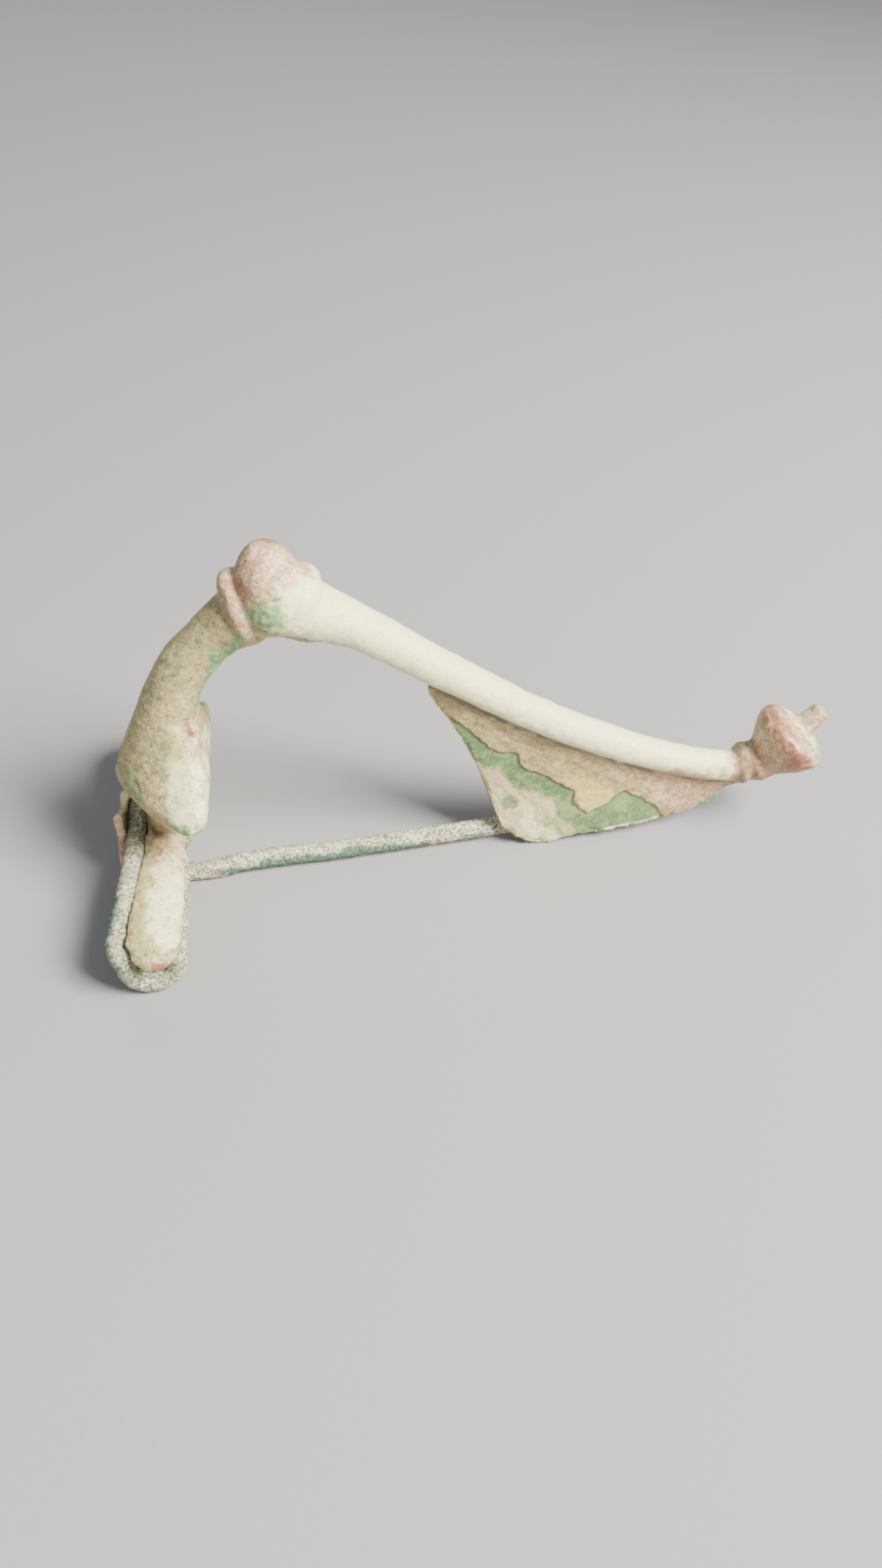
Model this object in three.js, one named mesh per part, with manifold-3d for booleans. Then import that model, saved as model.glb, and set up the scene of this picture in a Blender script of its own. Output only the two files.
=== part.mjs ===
// Fibula brooch: a cast bronze bow that stands on its spring and on the corner of its catch plate.
// Millimetres, +Z up, +X from the spring to the foot, +Y away from the side that is looked at.
// The spring's axis runs along Y, above X = 0 while the shapes are made.

import * as THREE from 'three';
import { mergeVertices } from 'three/addons/utils/BufferGeometryUtils.js';
import Module from 'manifold-3d';

// Driving sizes of the bow
const bowReach = 65;
const bowHeight = 31;
const neckRadius = 2.2;
const footRadius = 1.55;
const crownKnobRadius = 3.85;
const crownKnobRise = 1.1;
const footKnobRadius = 3.7;
const stubRadius = 0.85;

// Driving sizes of the head, the cover over the spring and the chord hook
const headHalfWidth = 9;
const headRimHeight = 13;
const coverThickness = 1.1;
const coverOverhang = 0.4;
const coverStartAngle = 46;
const hookWidth = 2.8;
const hookThickness = 0.6;
const hookOffset = -0.7;
const hookDrop = 4.4;

// Driving sizes of the spring, its chord and the pin, which are one wire
const wireDiameter = 1.8;
const coilDiameter = 6;
const coilGap = 0.12;
const springX = -0.3;
const nearTurns = 7;
const farTurns = 8;
const chordGap = 0.2;
const chordEndAngle = 38;
const chordHookAngle = 28;
const pinTipDiameter = 0.9;
const pinReach = 44;

// Driving sizes of the catch
const catchThickness = 1.1;
const catchBend = 0.8;
const gutterThickness = 0.45;
const gutterLip = 2.7;
const gutterProud = 0.06;
const catchCorner = 37.4;
const gutterEnd = 49;

// Clearance between the wire and the casting
const clearance = 0.3;

// Sizes that follow from the wire and the coil
const wireRadius = wireDiameter / 2;
const coilRadius = coilDiameter / 2;
const coilPitch = wireDiameter + coilGap;
const windingRadius = coilRadius - wireRadius;
const nearStart = -coilPitch;
const springHalf = coilPitch * (nearTurns + 1.25);
const farStart = springHalf - coilPitch * (farTurns + 0.25);
const chordDistance = coilRadius + wireRadius + chordGap;
const coverInner = coilRadius + clearance;
const coverOuter = coverInner + coverThickness;
const coverHalf = springHalf + wireRadius + coverOverhang;

// Where the chord runs at a place along the spring: high under the hook, lower at the two ends
function chordAt(y) {
  const share = THREE.MathUtils.smoothstep(Math.abs(y), 0.1 * springHalf, 0.75 * springHalf);
  const angle = THREE.MathUtils.degToRad(THREE.MathUtils.lerp(chordHookAngle, chordEndAngle, share));
  return new THREE.Vector3(
    springX - chordDistance * Math.sin(angle),
    y,
    coilRadius + chordDistance * Math.cos(angle),
  );
}

// How finely the rings are cut
const bowSides = 20;
const wireSides = 8;
const stepsPerTurn = 12;

// Turns a ring of points into cap triangles that face along the ring's own direction
function capOf(ring) {
  const normal = new THREE.Vector3();
  ring.forEach((point, index) => {
    const next = ring[(index + 1) % ring.length];
    normal.add(new THREE.Vector3().crossVectors(point, next));
  });
  const size = normal.toArray().map(Math.abs);
  const dropped = size.indexOf(Math.max(...size));
  const flat = ring.map((point) => {
    const [u, v] = point.toArray().filter((value, axis) => axis !== dropped);
    return new THREE.Vector2(u, v);
  });
  return THREE.ShapeUtils.triangulateShape(flat, []).map(([a, b, c]) => {
    const ab = new THREE.Vector3().subVectors(ring[b], ring[a]);
    const ac = new THREE.Vector3().subVectors(ring[c], ring[a]);
    return ab.cross(ac).dot(normal) < 0 ? [a, c, b] : [a, b, c];
  });
}

// Makes a closed body through rings that all have the same number of points
function skin(rings) {
  const count = rings[0].length;
  const faces = [];
  for (let row = 0; row < rings.length - 1; row += 1) {
    for (let side = 0; side < count; side += 1) {
      const a = row * count + side;
      const b = row * count + ((side + 1) % count);
      faces.push([a, b, b + count], [a, b + count, a + count]);
    }
  }
  const last = (rings.length - 1) * count;
  capOf(rings[0]).forEach(([a, b, c]) => faces.push([a, c, b]));
  capOf(rings[rings.length - 1]).forEach(([a, b, c]) => faces.push([last + a, last + b, last + c]));
  const points = rings.flat();
  const volume = faces.reduce((sum, [a, b, c]) => {
    const bc = new THREE.Vector3().crossVectors(points[b], points[c]);
    return sum + points[a].dot(bc);
  }, 0);
  const outward = volume < 0 ? faces.map(([a, b, c]) => [a, c, b]) : faces;
  const geometry = new THREE.BufferGeometry();
  geometry.setAttribute('position', new THREE.Float32BufferAttribute(points.flatMap((p) => p.toArray()), 3));
  geometry.setIndex(outward.flat());
  return geometry;
}

const wasm = await Module();
wasm.setup();

function toSolid(geometry) {
  const bare = geometry.clone();
  bare.deleteAttribute('normal');
  bare.deleteAttribute('uv');
  const merged = mergeVertices(bare);
  const mesh = new wasm.Mesh({
    numProp: 3,
    vertProperties: new Float32Array(merged.attributes.position.array),
    triVerts: new Uint32Array(merged.index.array),
  });
  return new wasm.Manifold(mesh);
}

function toGeometry(solid) {
  const mesh = solid.getMesh();
  const geometry = new THREE.BufferGeometry();
  geometry.setAttribute('position', new THREE.Float32BufferAttribute(mesh.vertProperties, 3));
  geometry.setIndex(Array.from(mesh.triVerts));
  geometry.computeVertexNormals();
  return geometry;
}

const wave = (value, power) => Math.sign(value) * Math.abs(value) ** power;
const smooth = THREE.MathUtils.smoothstep;

// Straight-line reading of a list of [place, value] pairs
function read(table, place) {
  const after = table.findIndex(([at]) => at >= place);
  if (after === 0) return table[0][1];
  if (after < 0) return table[table.length - 1][1];
  const [at0, value0] = table[after - 1];
  const [at1, value1] = table[after];
  return THREE.MathUtils.lerp(value0, value1, (place - at0) / (at1 - at0));
}

// A ring across the bow: outer and inner are measured along the plane of the bow, half across it
function bowRing(centre, direction, outer, inner, half, outerPower = 1, innerPower = 1) {
  const up = new THREE.Vector3(-direction.z, 0, direction.x);
  return Array.from({ length: bowSides }, (unused, index) => {
    const angle = (2 * Math.PI * index) / bowSides;
    const rise = Math.cos(angle);
    const power = rise > 0 ? outerPower : innerPower;
    const point = centre.clone().addScaledVector(up, wave(rise, power) * (rise > 0 ? outer : inner));
    point.y += half * wave(Math.sin(angle), power);
    return point;
  });
}

// The head: a trumpet with a pointed outer side and a flat inner side, down to the cover.
// Each level gives its height, lean, outer and inner edge in X, and its half width.
function headRings() {
  const rim = headRimHeight;
  const coverTop = coilRadius + coverInner + coverThickness * 0.4;
  const levels = [
    { z: coverTop, lean: 0, outerX: -0.7, innerX: 1.6, half: 0.48, outerPower: 1, innerPower: 0.8 },
    { z: rim - 4, lean: 0, outerX: -0.7, innerX: 3.0, half: 0.58, outerPower: 1, innerPower: 0.7 },
    { z: rim - 2.2, lean: 5, outerX: -1.3, innerX: 4.5, half: 0.76, outerPower: 1.2, innerPower: 0.6 },
    { z: rim - 0.7, lean: 10, outerX: -2.1, innerX: 5.2, half: 0.94, outerPower: 1.35, innerPower: 0.5 },
    { z: rim, lean: 10, outerX: -2.5, innerX: 5.4, half: 1, outerPower: 1.35, innerPower: 0.5 },
    { z: rim + 0.7, lean: 10, outerX: -2.5, innerX: 5.4, half: 0.96, outerPower: 1.35, innerPower: 0.5 },
    { z: rim + 1.8, lean: 11, outerX: -2.2, innerX: 5.3, half: 0.76, outerPower: 1.25, innerPower: 0.55 },
    { z: rim + 3.3, lean: 13, outerX: -1.6, innerX: 5.2, half: 0.56, outerPower: 1.15, innerPower: 0.65 },
    { z: rim + 5.2, lean: 16, outerX: -0.8, innerX: 5.2, half: 0.4, outerPower: 1, innerPower: 0.8 },
  ];
  return levels.map((level) => {
    const lean = THREE.MathUtils.degToRad(level.lean);
    const direction = new THREE.Vector3(Math.sin(lean), 0, Math.cos(lean));
    const datumX = THREE.MathUtils.lerp(level.outerX, level.innerX, 0.62);
    const outer = (datumX - level.outerX) / Math.cos(lean);
    const inner = (level.innerX - datumX) / Math.cos(lean);
    const centre = new THREE.Vector3(datumX, 0, level.z);
    const half = level.half * headHalfWidth;
    return bowRing(centre, direction, outer, inner, half, level.outerPower, level.innerPower);
  });
}

// The line of the bow from the neck to the tip of the stub, as shares of its reach and height
const bowLine = new THREE.CatmullRomCurve3(
  [
    [0.042, 0.658], [0.066, 0.768], [0.106, 0.871], [0.143, 0.944], [0.172, 0.984],
    [0.197, 1.0], [0.222, 0.987], [0.251, 0.952], [0.3, 0.895], [0.386, 0.769],
    [0.474, 0.644], [0.538, 0.555], [0.626, 0.452], [0.718, 0.36], [0.815, 0.286],
    [0.872, 0.26], [0.902, 0.259], [0.919, 0.27], [0.932, 0.297], [0.948, 0.336],
    [0.969, 0.394], [1, 0.476],
  ].map(([x, z]) => new THREE.Vector3(x * bowReach, 0, z * bowHeight)),
  false,
  'centripetal',
);

// Plain thickness of the bow, by its share of the bow's own length
const plainRadius = [
  [0, neckRadius * 1.14], [0.05, neckRadius * 1.02], [0.1, neckRadius * 0.95], [0.15, neckRadius * 1.05],
  [0.25, neckRadius * 1.08], [0.3, footRadius * 1.22], [0.39, footRadius * 1.14], [0.63, footRadius],
  [0.8, footRadius * 0.94], [0.91, footRadius * 0.94],
];

// Turned mouldings round the bow: middle and half length as shares of the bow's own length
const mouldings = [
  { at: 0.161, half: 0.0068, outer: neckRadius + 0.65, inner: neckRadius + 0.4, side: neckRadius + 0.7 },
  {
    at: 0.1975,
    half: 0.0295,
    outer: crownKnobRadius + crownKnobRise,
    inner: crownKnobRadius - crownKnobRise,
    side: crownKnobRadius,
  },
  { at: 0.2385, half: 0.0185, outer: neckRadius + 1.05, inner: neckRadius + 0.5, side: neckRadius + 1 },
  { at: 0.868, half: 0.0065, outer: footRadius + 0.45, inner: footRadius + 0.4, side: footRadius + 0.45 },
  { at: 0.884, half: 0.007, outer: footRadius + 0.4, inner: footRadius + 0.3, side: footRadius + 0.4 },
];

// The flared knob at the foot and the stub beyond it, as radii along the bow's end
const footKnob = [
  [0.9, footRadius * 0.92], [0.912, footRadius * 1.15], [0.928, footRadius * 1.65],
  [0.942, footKnobRadius * 0.93], [0.949, footKnobRadius], [0.957, footKnobRadius * 0.95],
  [0.962, footKnobRadius * 0.72], [0.9645, stubRadius * 1.5], [0.968, stubRadius * 1.15],
  [0.985, stubRadius], [0.996, stubRadius * 0.9], [1, stubRadius * 0.7],
];

// Half sizes of the bow at a share of its length: the plain bow or a moulding, whichever is larger
function bowSize(share) {
  const plain = share < footKnob[0][0] ? read(plainRadius, share) : read(footKnob, share);
  const size = { outer: plain, inner: plain, side: plain };
  mouldings.forEach((moulding) => {
    const offset = (share - moulding.at) / moulding.half;
    const bulge = Math.sqrt(Math.max(0, 1 - offset * offset));
    size.outer = Math.max(size.outer, moulding.outer * bulge);
    size.inner = Math.max(size.inner, moulding.inner * bulge);
    size.side = Math.max(size.side, moulding.side * bulge);
  });
  return size;
}

// Where the bow is cut into rings: evenly, closer on each moulding, and at each point of the foot knob
function bowShares() {
  const plain = Array.from({ length: 19 }, (unused, index) => 0.27 + index * 0.0325);
  const neck = Array.from({ length: 5 }, (unused, index) => index * 0.034);
  const turned = mouldings.flatMap((moulding) => {
    const steps = moulding.half > 0.02 ? 5 : 2;
    return Array.from({ length: 2 * steps + 1 }, (unused, index) => {
      const turn = (Math.PI * (index - steps)) / (2 * steps);
      return moulding.at + moulding.half * Math.sin(turn);
    });
  });
  const foot = footKnob.map(([share]) => share);
  const shares = [...neck, ...plain, ...turned, ...foot].filter((share) => share >= 0 && share <= 1);
  const sorted = shares.sort((first, second) => first - second);
  return sorted.filter((share, index) => index === 0 || share - sorted[index - 1] > 0.0015);
}

function bowRings() {
  return bowShares().map((share) => {
    const size = bowSize(share);
    const centre = bowLine.getPointAt(share);
    const direction = bowLine.getTangentAt(share);
    return bowRing(centre, direction, size.outer, size.inner, size.side);
  });
}

// The cover over the top of the spring, a curved strip with rounded ends
function springCover() {
  const start = THREE.MathUtils.degToRad(coverStartAngle);
  const chordTurn = Math.PI / 2 + THREE.MathUtils.degToRad(chordHookAngle);
  const end = chordTurn - Math.asin((wireRadius + clearance) / chordDistance);
  const middle = (start + end) / 2;
  const span = (end - start) / 2;
  const steps = 6;
  const places = [-1, -0.985, -0.95, -0.9, -0.5, 0, 0.5, 0.9, 0.95, 0.985, 1];
  const rings = places.map((place) => {
    const rounding = smooth(1 - Math.abs(place), -0.03, 0.09);
    const half = span * (0.45 + 0.55 * rounding);
    const arc = (radius, way) => Array.from({ length: steps + 1 }, (unused, index) => {
      const angle = middle + way * half * ((2 * index) / steps - 1);
      return new THREE.Vector3(
        springX + radius * Math.cos(angle),
        place * coverHalf,
        coilRadius + radius * Math.sin(angle),
      );
    });
    return [...arc(coverOuter, 1), ...arc(coverInner, -1)];
  });
  return skin(rings);
}

// The hook that holds the chord, a strip bent from the head over the chord and down outside it
function chordHook() {
  const reach = wireRadius + clearance + hookThickness / 2;
  const chord = chordAt(hookOffset);
  const coilSide = springX - coilRadius - clearance - hookThickness / 2;
  const bend = (angle, distance = reach) => {
    const turn = THREE.MathUtils.degToRad(angle);
    return [chord.x + distance * Math.cos(turn), chord.z + distance * Math.sin(turn)];
  };
  const lowX = Math.min(chord.x - reach, coilSide);
  const route = [
    [0.4, chord.z + reach + 0.1],
    bend(80),
    bend(120),
    bend(155),
    [THREE.MathUtils.lerp(chord.x - reach, lowX, 0.5), chord.z - hookDrop * 0.3],
    [lowX, chord.z - hookDrop * 0.7],
    [lowX, chord.z - hookDrop],
  ];
  const widths = [1, 1, 1, 1, 0.95, 0.7, 0.3];
  const rings = route.map(([x, z], index) => {
    const before = route[Math.max(0, index - 1)];
    const after = route[Math.min(route.length - 1, index + 1)];
    const along = new THREE.Vector2(after[0] - before[0], after[1] - before[1]).normalize();
    const half = (hookWidth / 2) * widths[index];
    return [[-1, -1], [1, -1], [1, 1], [-1, 1]].map(([across, side]) => new THREE.Vector3(
      x - (along.y * across * hookThickness) / 2,
      hookOffset + side * half,
      z + (along.x * across * hookThickness) / 2,
    ));
  });
  return skin(rings);
}

// Lower edge of the catch plate, as shares of the bow's reach and of its height
const catchEdge = [
  [0.398, 0.645], [0.43, 0.54], [0.456, 0.426], [0.48, 0.31], [0.498, 0.19], [0.515, 0.09],
  [0.54, 0.04], [catchCorner / bowReach, 0], [0.62, 0], [0.67, 0.014], [0.705, 0.026], [0.785, 0.055],
  [0.85, 0.1], [0.868, 0.165], [0.895, 0.195],
].map(([x, z]) => [x * bowReach, z * bowHeight]);

// The plate leans towards the near side low down, where its edge is folded
const bendAt = (x, z) => catchBend * (1 - smooth(z, 1.2, 7)) * (1 - smooth(x, gutterEnd - 4, gutterEnd + 6));

function bowCentreHeight(x) {
  let low = 0.2;
  let high = 0.92;
  for (let step = 0; step < 30; step += 1) {
    const middle = (low + high) / 2;
    if (bowLine.getPointAt(middle).x < x) low = middle;
    else high = middle;
  }
  return bowLine.getPointAt(low).z;
}

function catchPlate() {
  const startX = catchEdge[0][0];
  const endX = catchEdge[catchEdge.length - 1][0];
  const between = [0.4, 0.44, 0.65, 0.745, 0.82].map((share) => share * bowReach);
  const columns = [...catchEdge.map(([x]) => x), ...between].sort((first, second) => first - second);
  const levels = 7;
  const rings = columns.filter((x) => x >= startX && x <= endX).map((x) => {
    const top = bowCentreHeight(x);
    const low = read(catchEdge, x) + gutterProud;
    const wall = (side, down) => Array.from({ length: levels + 1 }, (unused, index) => {
      const share = down ? index / levels : 1 - index / levels;
      const z = THREE.MathUtils.lerp(top, low, share);
      return new THREE.Vector3(x, (side * catchThickness) / 2 - bendAt(x, z), z);
    });
    return [...wall(-1, true), ...wall(1, false)];
  });
  return skin(rings);
}

// The folded edge that holds the pin: a floor and a lip on the far side
const pinSeatX = catchCorner + 1.4;
const pinSeatRadius = wireRadius * 0.8;
const gutterInner = catchThickness / 2 - catchBend;
const gutterWidth = 2 * (pinSeatRadius + clearance);
const pinSeatY = gutterInner + gutterWidth / 2;
const pinSeatZ = gutterThickness + clearance + pinSeatRadius;

function gutter() {
  const stops = [0, 0.08, 0.25, 0.5, 0.75, 1];
  const rings = stops.map((stop) => {
    const x = THREE.MathUtils.lerp(catchCorner, gutterEnd, stop);
    const low = read(catchEdge, x);
    const lip = Math.max(gutterThickness * 1.3, gutterLip * Math.min(1, 0.45 + stop * 5, 1.15 - stop * 0.7));
    const nearY = gutterInner - catchThickness * 0.6;
    const innerY = gutterInner + gutterWidth;
    const outerY = innerY + gutterThickness;
    return [
      [nearY, low], [outerY, low], [outerY, low + lip],
      [innerY, low + lip], [innerY, low + gutterThickness], [nearY, low + gutterThickness],
    ].map(([y, z]) => new THREE.Vector3(x, y, z));
  });
  return skin(rings);
}

// A tube of changing radius along a list of points
function sweep(points, radii, sides) {
  const tangents = points.map((point, index) => {
    const before = points[Math.max(0, index - 1)];
    const after = points[Math.min(points.length - 1, index + 1)];
    return new THREE.Vector3().subVectors(after, before).normalize();
  });
  let across = new THREE.Vector3(0, 0, 1).cross(tangents[0]).normalize();
  const rings = points.map((point, index) => {
    across = across.clone().addScaledVector(tangents[index], -across.dot(tangents[index])).normalize();
    const up = new THREE.Vector3().crossVectors(tangents[index], across);
    return Array.from({ length: sides }, (unused, side) => {
      const angle = (2 * Math.PI * (side + 0.5)) / sides;
      return point.clone()
        .addScaledVector(across, radii[index] * Math.cos(angle))
        .addScaledVector(up, radii[index] * Math.sin(angle));
    });
  });
  return skin(rings);
}

// Points on one half of the spring, from the middle outwards
function coil(start, turns, way) {
  const steps = Math.round(turns * stepsPerTurn);
  return Array.from({ length: steps + 1 }, (unused, index) => {
    const turned = index / stepsPerTurn;
    const angle = 2 * Math.PI * turned;
    return new THREE.Vector3(
      springX - windingRadius * Math.sin(angle),
      start + way * coilPitch * turned,
      coilRadius - windingRadius * Math.cos(angle),
    );
  });
}

// The bend from the last turn up to the chord, on the near side (-1) or the far side (+1)
function chordBend(way) {
  const chord = chordAt(springHalf);
  return [
    [-windingRadius - 0.1, springHalf + 0.15, 0.3],
    [-windingRadius - 0.3, springHalf + 0.1, 0.6],
    [chord.x - springX - 0.15, springHalf - 0.5, 0.84],
    [chord.x - springX - 0.05, springHalf - 1.6, 0.97],
    [chord.x - springX, springHalf - 3, 1],
  ].map(([x, y, rise]) => {
    const z = THREE.MathUtils.lerp(coilRadius, chord.z, rise);
    return new THREE.Vector3(springX + x, way * y, z);
  });
}

function springAndPin() {
  const pinTipRadius = pinTipDiameter / 2;
  const pin = [
    [pinReach, pinSeatY, pinSeatZ + 0.3, pinTipRadius * 0.5],
    [pinReach - 1.2, pinSeatY, pinSeatZ + 0.25, pinTipRadius],
    [pinSeatX, pinSeatY, pinSeatZ, pinSeatRadius],
    [catchCorner - 2.2, pinSeatY - 0.05, pinSeatZ - 0.1, wireRadius * 0.94],
    [27, pinSeatY - 0.6, wireRadius + 0.15, wireRadius],
    [17, nearStart + 0.5, wireRadius + 0.05, wireRadius],
    [9, nearStart + 0.05, wireRadius, wireRadius],
    [4, nearStart, wireRadius, wireRadius],
    [1.5, nearStart, wireRadius, wireRadius],
  ];
  const pinPoints = pin.map(([x, y, z]) => new THREE.Vector3(x, y, z));
  const near = coil(nearStart, nearTurns + 0.25, -1);
  const far = coil(farStart, farTurns + 0.25, 1).reverse();
  const chord = [-0.65, -0.48, -0.3, -0.12, 0.12, 0.3, 0.48, 0.65].map((share) => chordAt(share * springHalf));
  const points = [...pinPoints, ...near, ...chordBend(-1), ...chord, ...chordBend(1).reverse(), ...far];
  const radii = points.map((unused, index) => (index < pin.length ? pin[index][3] : wireRadius));
  return sweep(points, radii, wireSides);
}

function bowCasting() {
  const bow = toSolid(skin([...headRings(), ...bowRings()]));
  return toGeometry([springCover(), chordHook(), catchPlate(), gutter()]
    .map(toSolid)
    .reduce((whole, piece) => whole.add(piece), bow));
}

const bronze = { roughness: 0.55, metalness: 0.6 };
const bow = new THREE.Mesh(bowCasting(), new THREE.MeshStandardMaterial({ color: 0xb9a888, ...bronze }));
bow.name = 'bow';
const springPin = new THREE.Mesh(springAndPin(), new THREE.MeshStandardMaterial({ color: 0x9fb0a0, ...bronze }));
springPin.name = 'spring_pin';

// The origin is under the middle of the whole brooch, on the surface that it stands on
const brooch = new THREE.Group();
brooch.add(bow, springPin);
const bounds = new THREE.Box3().setFromObject(brooch);
const middle = bounds.getCenter(new THREE.Vector3());
brooch.position.set(-middle.x, -middle.y, -bounds.min.z);
brooch.updateMatrixWorld(true);

export default brooch;
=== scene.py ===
"""Fibula brooch: a weathered cast bow and its sprung wire, on a pale floor in soft light.

The file is laid out as a Blender add-on and is run as a script.
Shapes are worked out in millimetres from the spring's own line, and put in the frame in metres at the end.
"""

import itertools
import math

import bpy
import numpy as np
from bpy.props import FloatProperty, FloatVectorProperty, IntProperty, PointerProperty
from mathutils import Matrix, Vector


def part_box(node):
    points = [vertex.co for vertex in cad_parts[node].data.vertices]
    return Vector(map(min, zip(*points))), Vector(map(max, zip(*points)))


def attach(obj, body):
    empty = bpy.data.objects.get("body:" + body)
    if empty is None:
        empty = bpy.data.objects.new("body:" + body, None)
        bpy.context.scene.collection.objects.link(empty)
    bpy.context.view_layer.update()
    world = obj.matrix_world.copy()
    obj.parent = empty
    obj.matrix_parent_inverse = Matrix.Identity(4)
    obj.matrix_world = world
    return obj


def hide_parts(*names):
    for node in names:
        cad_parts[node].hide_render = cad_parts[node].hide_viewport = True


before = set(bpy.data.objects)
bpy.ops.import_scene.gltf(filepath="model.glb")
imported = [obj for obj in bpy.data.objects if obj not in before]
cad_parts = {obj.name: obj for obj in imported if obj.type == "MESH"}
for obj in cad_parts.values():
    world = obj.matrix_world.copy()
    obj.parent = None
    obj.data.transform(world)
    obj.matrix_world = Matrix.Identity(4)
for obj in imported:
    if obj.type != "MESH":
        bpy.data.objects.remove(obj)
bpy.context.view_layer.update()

bl_info = {
    "name": "Fibula Brooch",
    "version": (1, 0, 0),
    "blender": (4, 5, 0),
    "location": "3D View > Sidebar > Brooch",
    "description": "Builds a weathered bronze bow brooch with its spring and pin",
    "category": "Add Mesh",
}

MM = 0.001
ROOT = "root"

# Fixed places and gaps, in millimetres
SPRING_X = -0.3
CHORD_GAP = 0.2
CHORD_SEAM = 0.05
COVER_DROOP = 1.5
COVER_CORNER = 0.85
HOOK_STRIP = 2.8
HOOK_LEAF = -3.24
CATCH_CORNER = 37.4
FOLD_END = 49
FOLD_PROUD = 0.06
# Degrees round the spring: the chord from its top, at the hook and at the ends, and the cover's right edge
CHORD_HOOK = 22
CHORD_END = 39
COVER_START = 46
# The pin's radius in the gutter, as a share of the wire's
PIN_SEAT = 0.8

# How many rings each body has, and how many points a ring or one side of it has
BOW_RINGS = 460
BOW_SIDES = 72
HEAD_RINGS = 64
MOULDING_RINGS = 21
COVER_RINGS = 90
COVER_POINTS = 26
LEAF_POINTS = 6
PLATE_RINGS = 130
PLATE_POINTS = 48
FOLD_RINGS = 60
TURN_POINTS = 12
WIRE_SIDES = 30
# Spacing of the wire's rings, in millimetres
WIRE_STEP = 0.16

# How often the casting's points are evened out, for the cast itself and to find its narrow and wide hollows
CAST_ROUNDS = 4
HOLLOW_ROUNDS = 20
WIDE_ROUNDS = 60


def length(name, description, millimetres):
    """A size that a user can change, in metres, with its default in millimetres."""
    return FloatProperty(
        name=name, description=description, default=millimetres * MM, min=0, precision=5, subtype="DISTANCE"
    )


def colour(name, description, red, green, blue):
    """A colour that a user can change."""
    return FloatVectorProperty(
        name=name, description=description, default=(red, green, blue), min=0, max=1, subtype="COLOR"
    )


class BroochSizes(bpy.types.PropertyGroup):
    """Sizes of the casting and the wire."""

    bow_reach: length("Bow Reach", "From the spring's line to the tip of the stub", 65)
    bow_height: length("Bow Height", "Height of the bow's line at the crown", 31)
    neck_radius: length("Neck Radius", "Plain thickness between the head and the crown", 2.2)
    foot_radius: length("Foot Radius", "Plain thickness of the foot", 1.62)
    crown_radius: length("Crown Radius", "Half width of the crown bead", 3.75)
    crown_rise: length("Crown Rise", "How far the bead stands up from the bow's line", 1.55)
    knob_radius: length("Knob Radius", "Radius of the flared foot knob", 3.95)
    stub_radius: length("Stub Radius", "Radius of the stub beyond the foot knob", 1)
    head_half: length("Head Half Width", "Half width of the trumpet's rim", 9)
    head_rim: length("Head Rim Height", "Height of the trumpet's rim", 13)
    cover_thickness: length("Cover Thickness", "Wall of the cover over the spring", 1.1)
    cover_overhang: length("Cover Overhang", "How far the cover passes the spring", 0.9)
    hook_width: length("Hook Width", "Width of the hook over the chord", 2.8)
    hook_thickness: length("Hook Thickness", "Thickness of the hook", 0.6)
    plate_thickness: length("Plate Thickness", "Thickness of the catch plate", 1.1)
    plate_bend: length("Plate Bend", "How far the plate's low edge leans to the near side", 0.8)
    fold_thickness: length("Fold Thickness", "Thickness of the folded edge", 0.45)
    fold_lip: length("Fold Lip", "Height of the folded edge's lip", 2.7)
    skin_thickness: length("Skin Thickness", "Thickness of the patina that has flaked off", 0.16)
    wire_diameter: length("Wire Diameter", "Thickness of the spring's wire", 1.8)
    coil_diameter: length("Coil Diameter", "Outer diameter of the spring", 6)
    coil_gap: length("Coil Gap", "Space between two turns", 0.07)
    clearance: length("Clearance", "Space between the wire and the casting", 0.3)
    near_turns: IntProperty(name="Near Turns", description="Turns on the near side", default=7, min=1)
    far_turns: IntProperty(name="Far Turns", description="Turns on the far side", default=8, min=1)
    grain: length("Mesh Grain", "Spacing of the casting's mesh", 0.19)


class BroochColours(bpy.types.PropertyGroup):
    """Colours of the patina, the metal and the floor."""

    olive: colour("Olive Skin", "Thin olive patina on the bow", 0.29, 0.27, 0.12)
    beige: colour("Beige Skin", "Thin beige patina on the plate", 0.43, 0.33, 0.14)
    pink: colour("Pink Skin", "Pinkish patina where the metal shows through", 0.48, 0.285, 0.155)
    # Pale bloom, which is also laid on as painted highlight where upper faces catch the light
    cream: colour("Cream Bloom", "Pale bloom on the upper faces", 0.88, 0.86, 0.52)
    copper: colour("Copper", "Reddish worn metal", 0.27, 0.095, 0.05)
    verdigris: colour("Verdigris", "Pale green corrosion", 0.12, 0.25, 0.11)
    turquoise: colour("Turquoise", "Blue-green corrosion on the wire", 0.03, 0.135, 0.085)
    # Dark soil in pits; the same colour is also laid on as painted shade in creases, along the skin's edge
    # and under the foot's arris
    umber: colour("Umber", "Dark soil in pits and crevices", 0.075, 0.06, 0.04)
    wire_grey: colour("Wire Grey", "Grey-green crust on the wire", 0.36, 0.37, 0.26)
    floor: colour("Floor", "Pale floor", 0.275, 0.278, 0.285)


def sizes():
    return bpy.context.scene.brooch_sizes


def colours():
    return bpy.context.scene.brooch_colours


def mm(value):
    return value / MM


def wire_radius():
    return mm(sizes().wire_diameter) / 2


def coil_radius():
    return mm(sizes().coil_diameter) / 2


# Numbers and lines


def ease(low, high, value):
    """0 below low, 1 above high, and a smooth step between them."""
    share = np.clip((np.asarray(value, float) - low) / (high - low), 0, 1)
    return share * share * (3 - 2 * share)


def blend(first, second, share):
    return first + (second - first) * share


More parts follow.
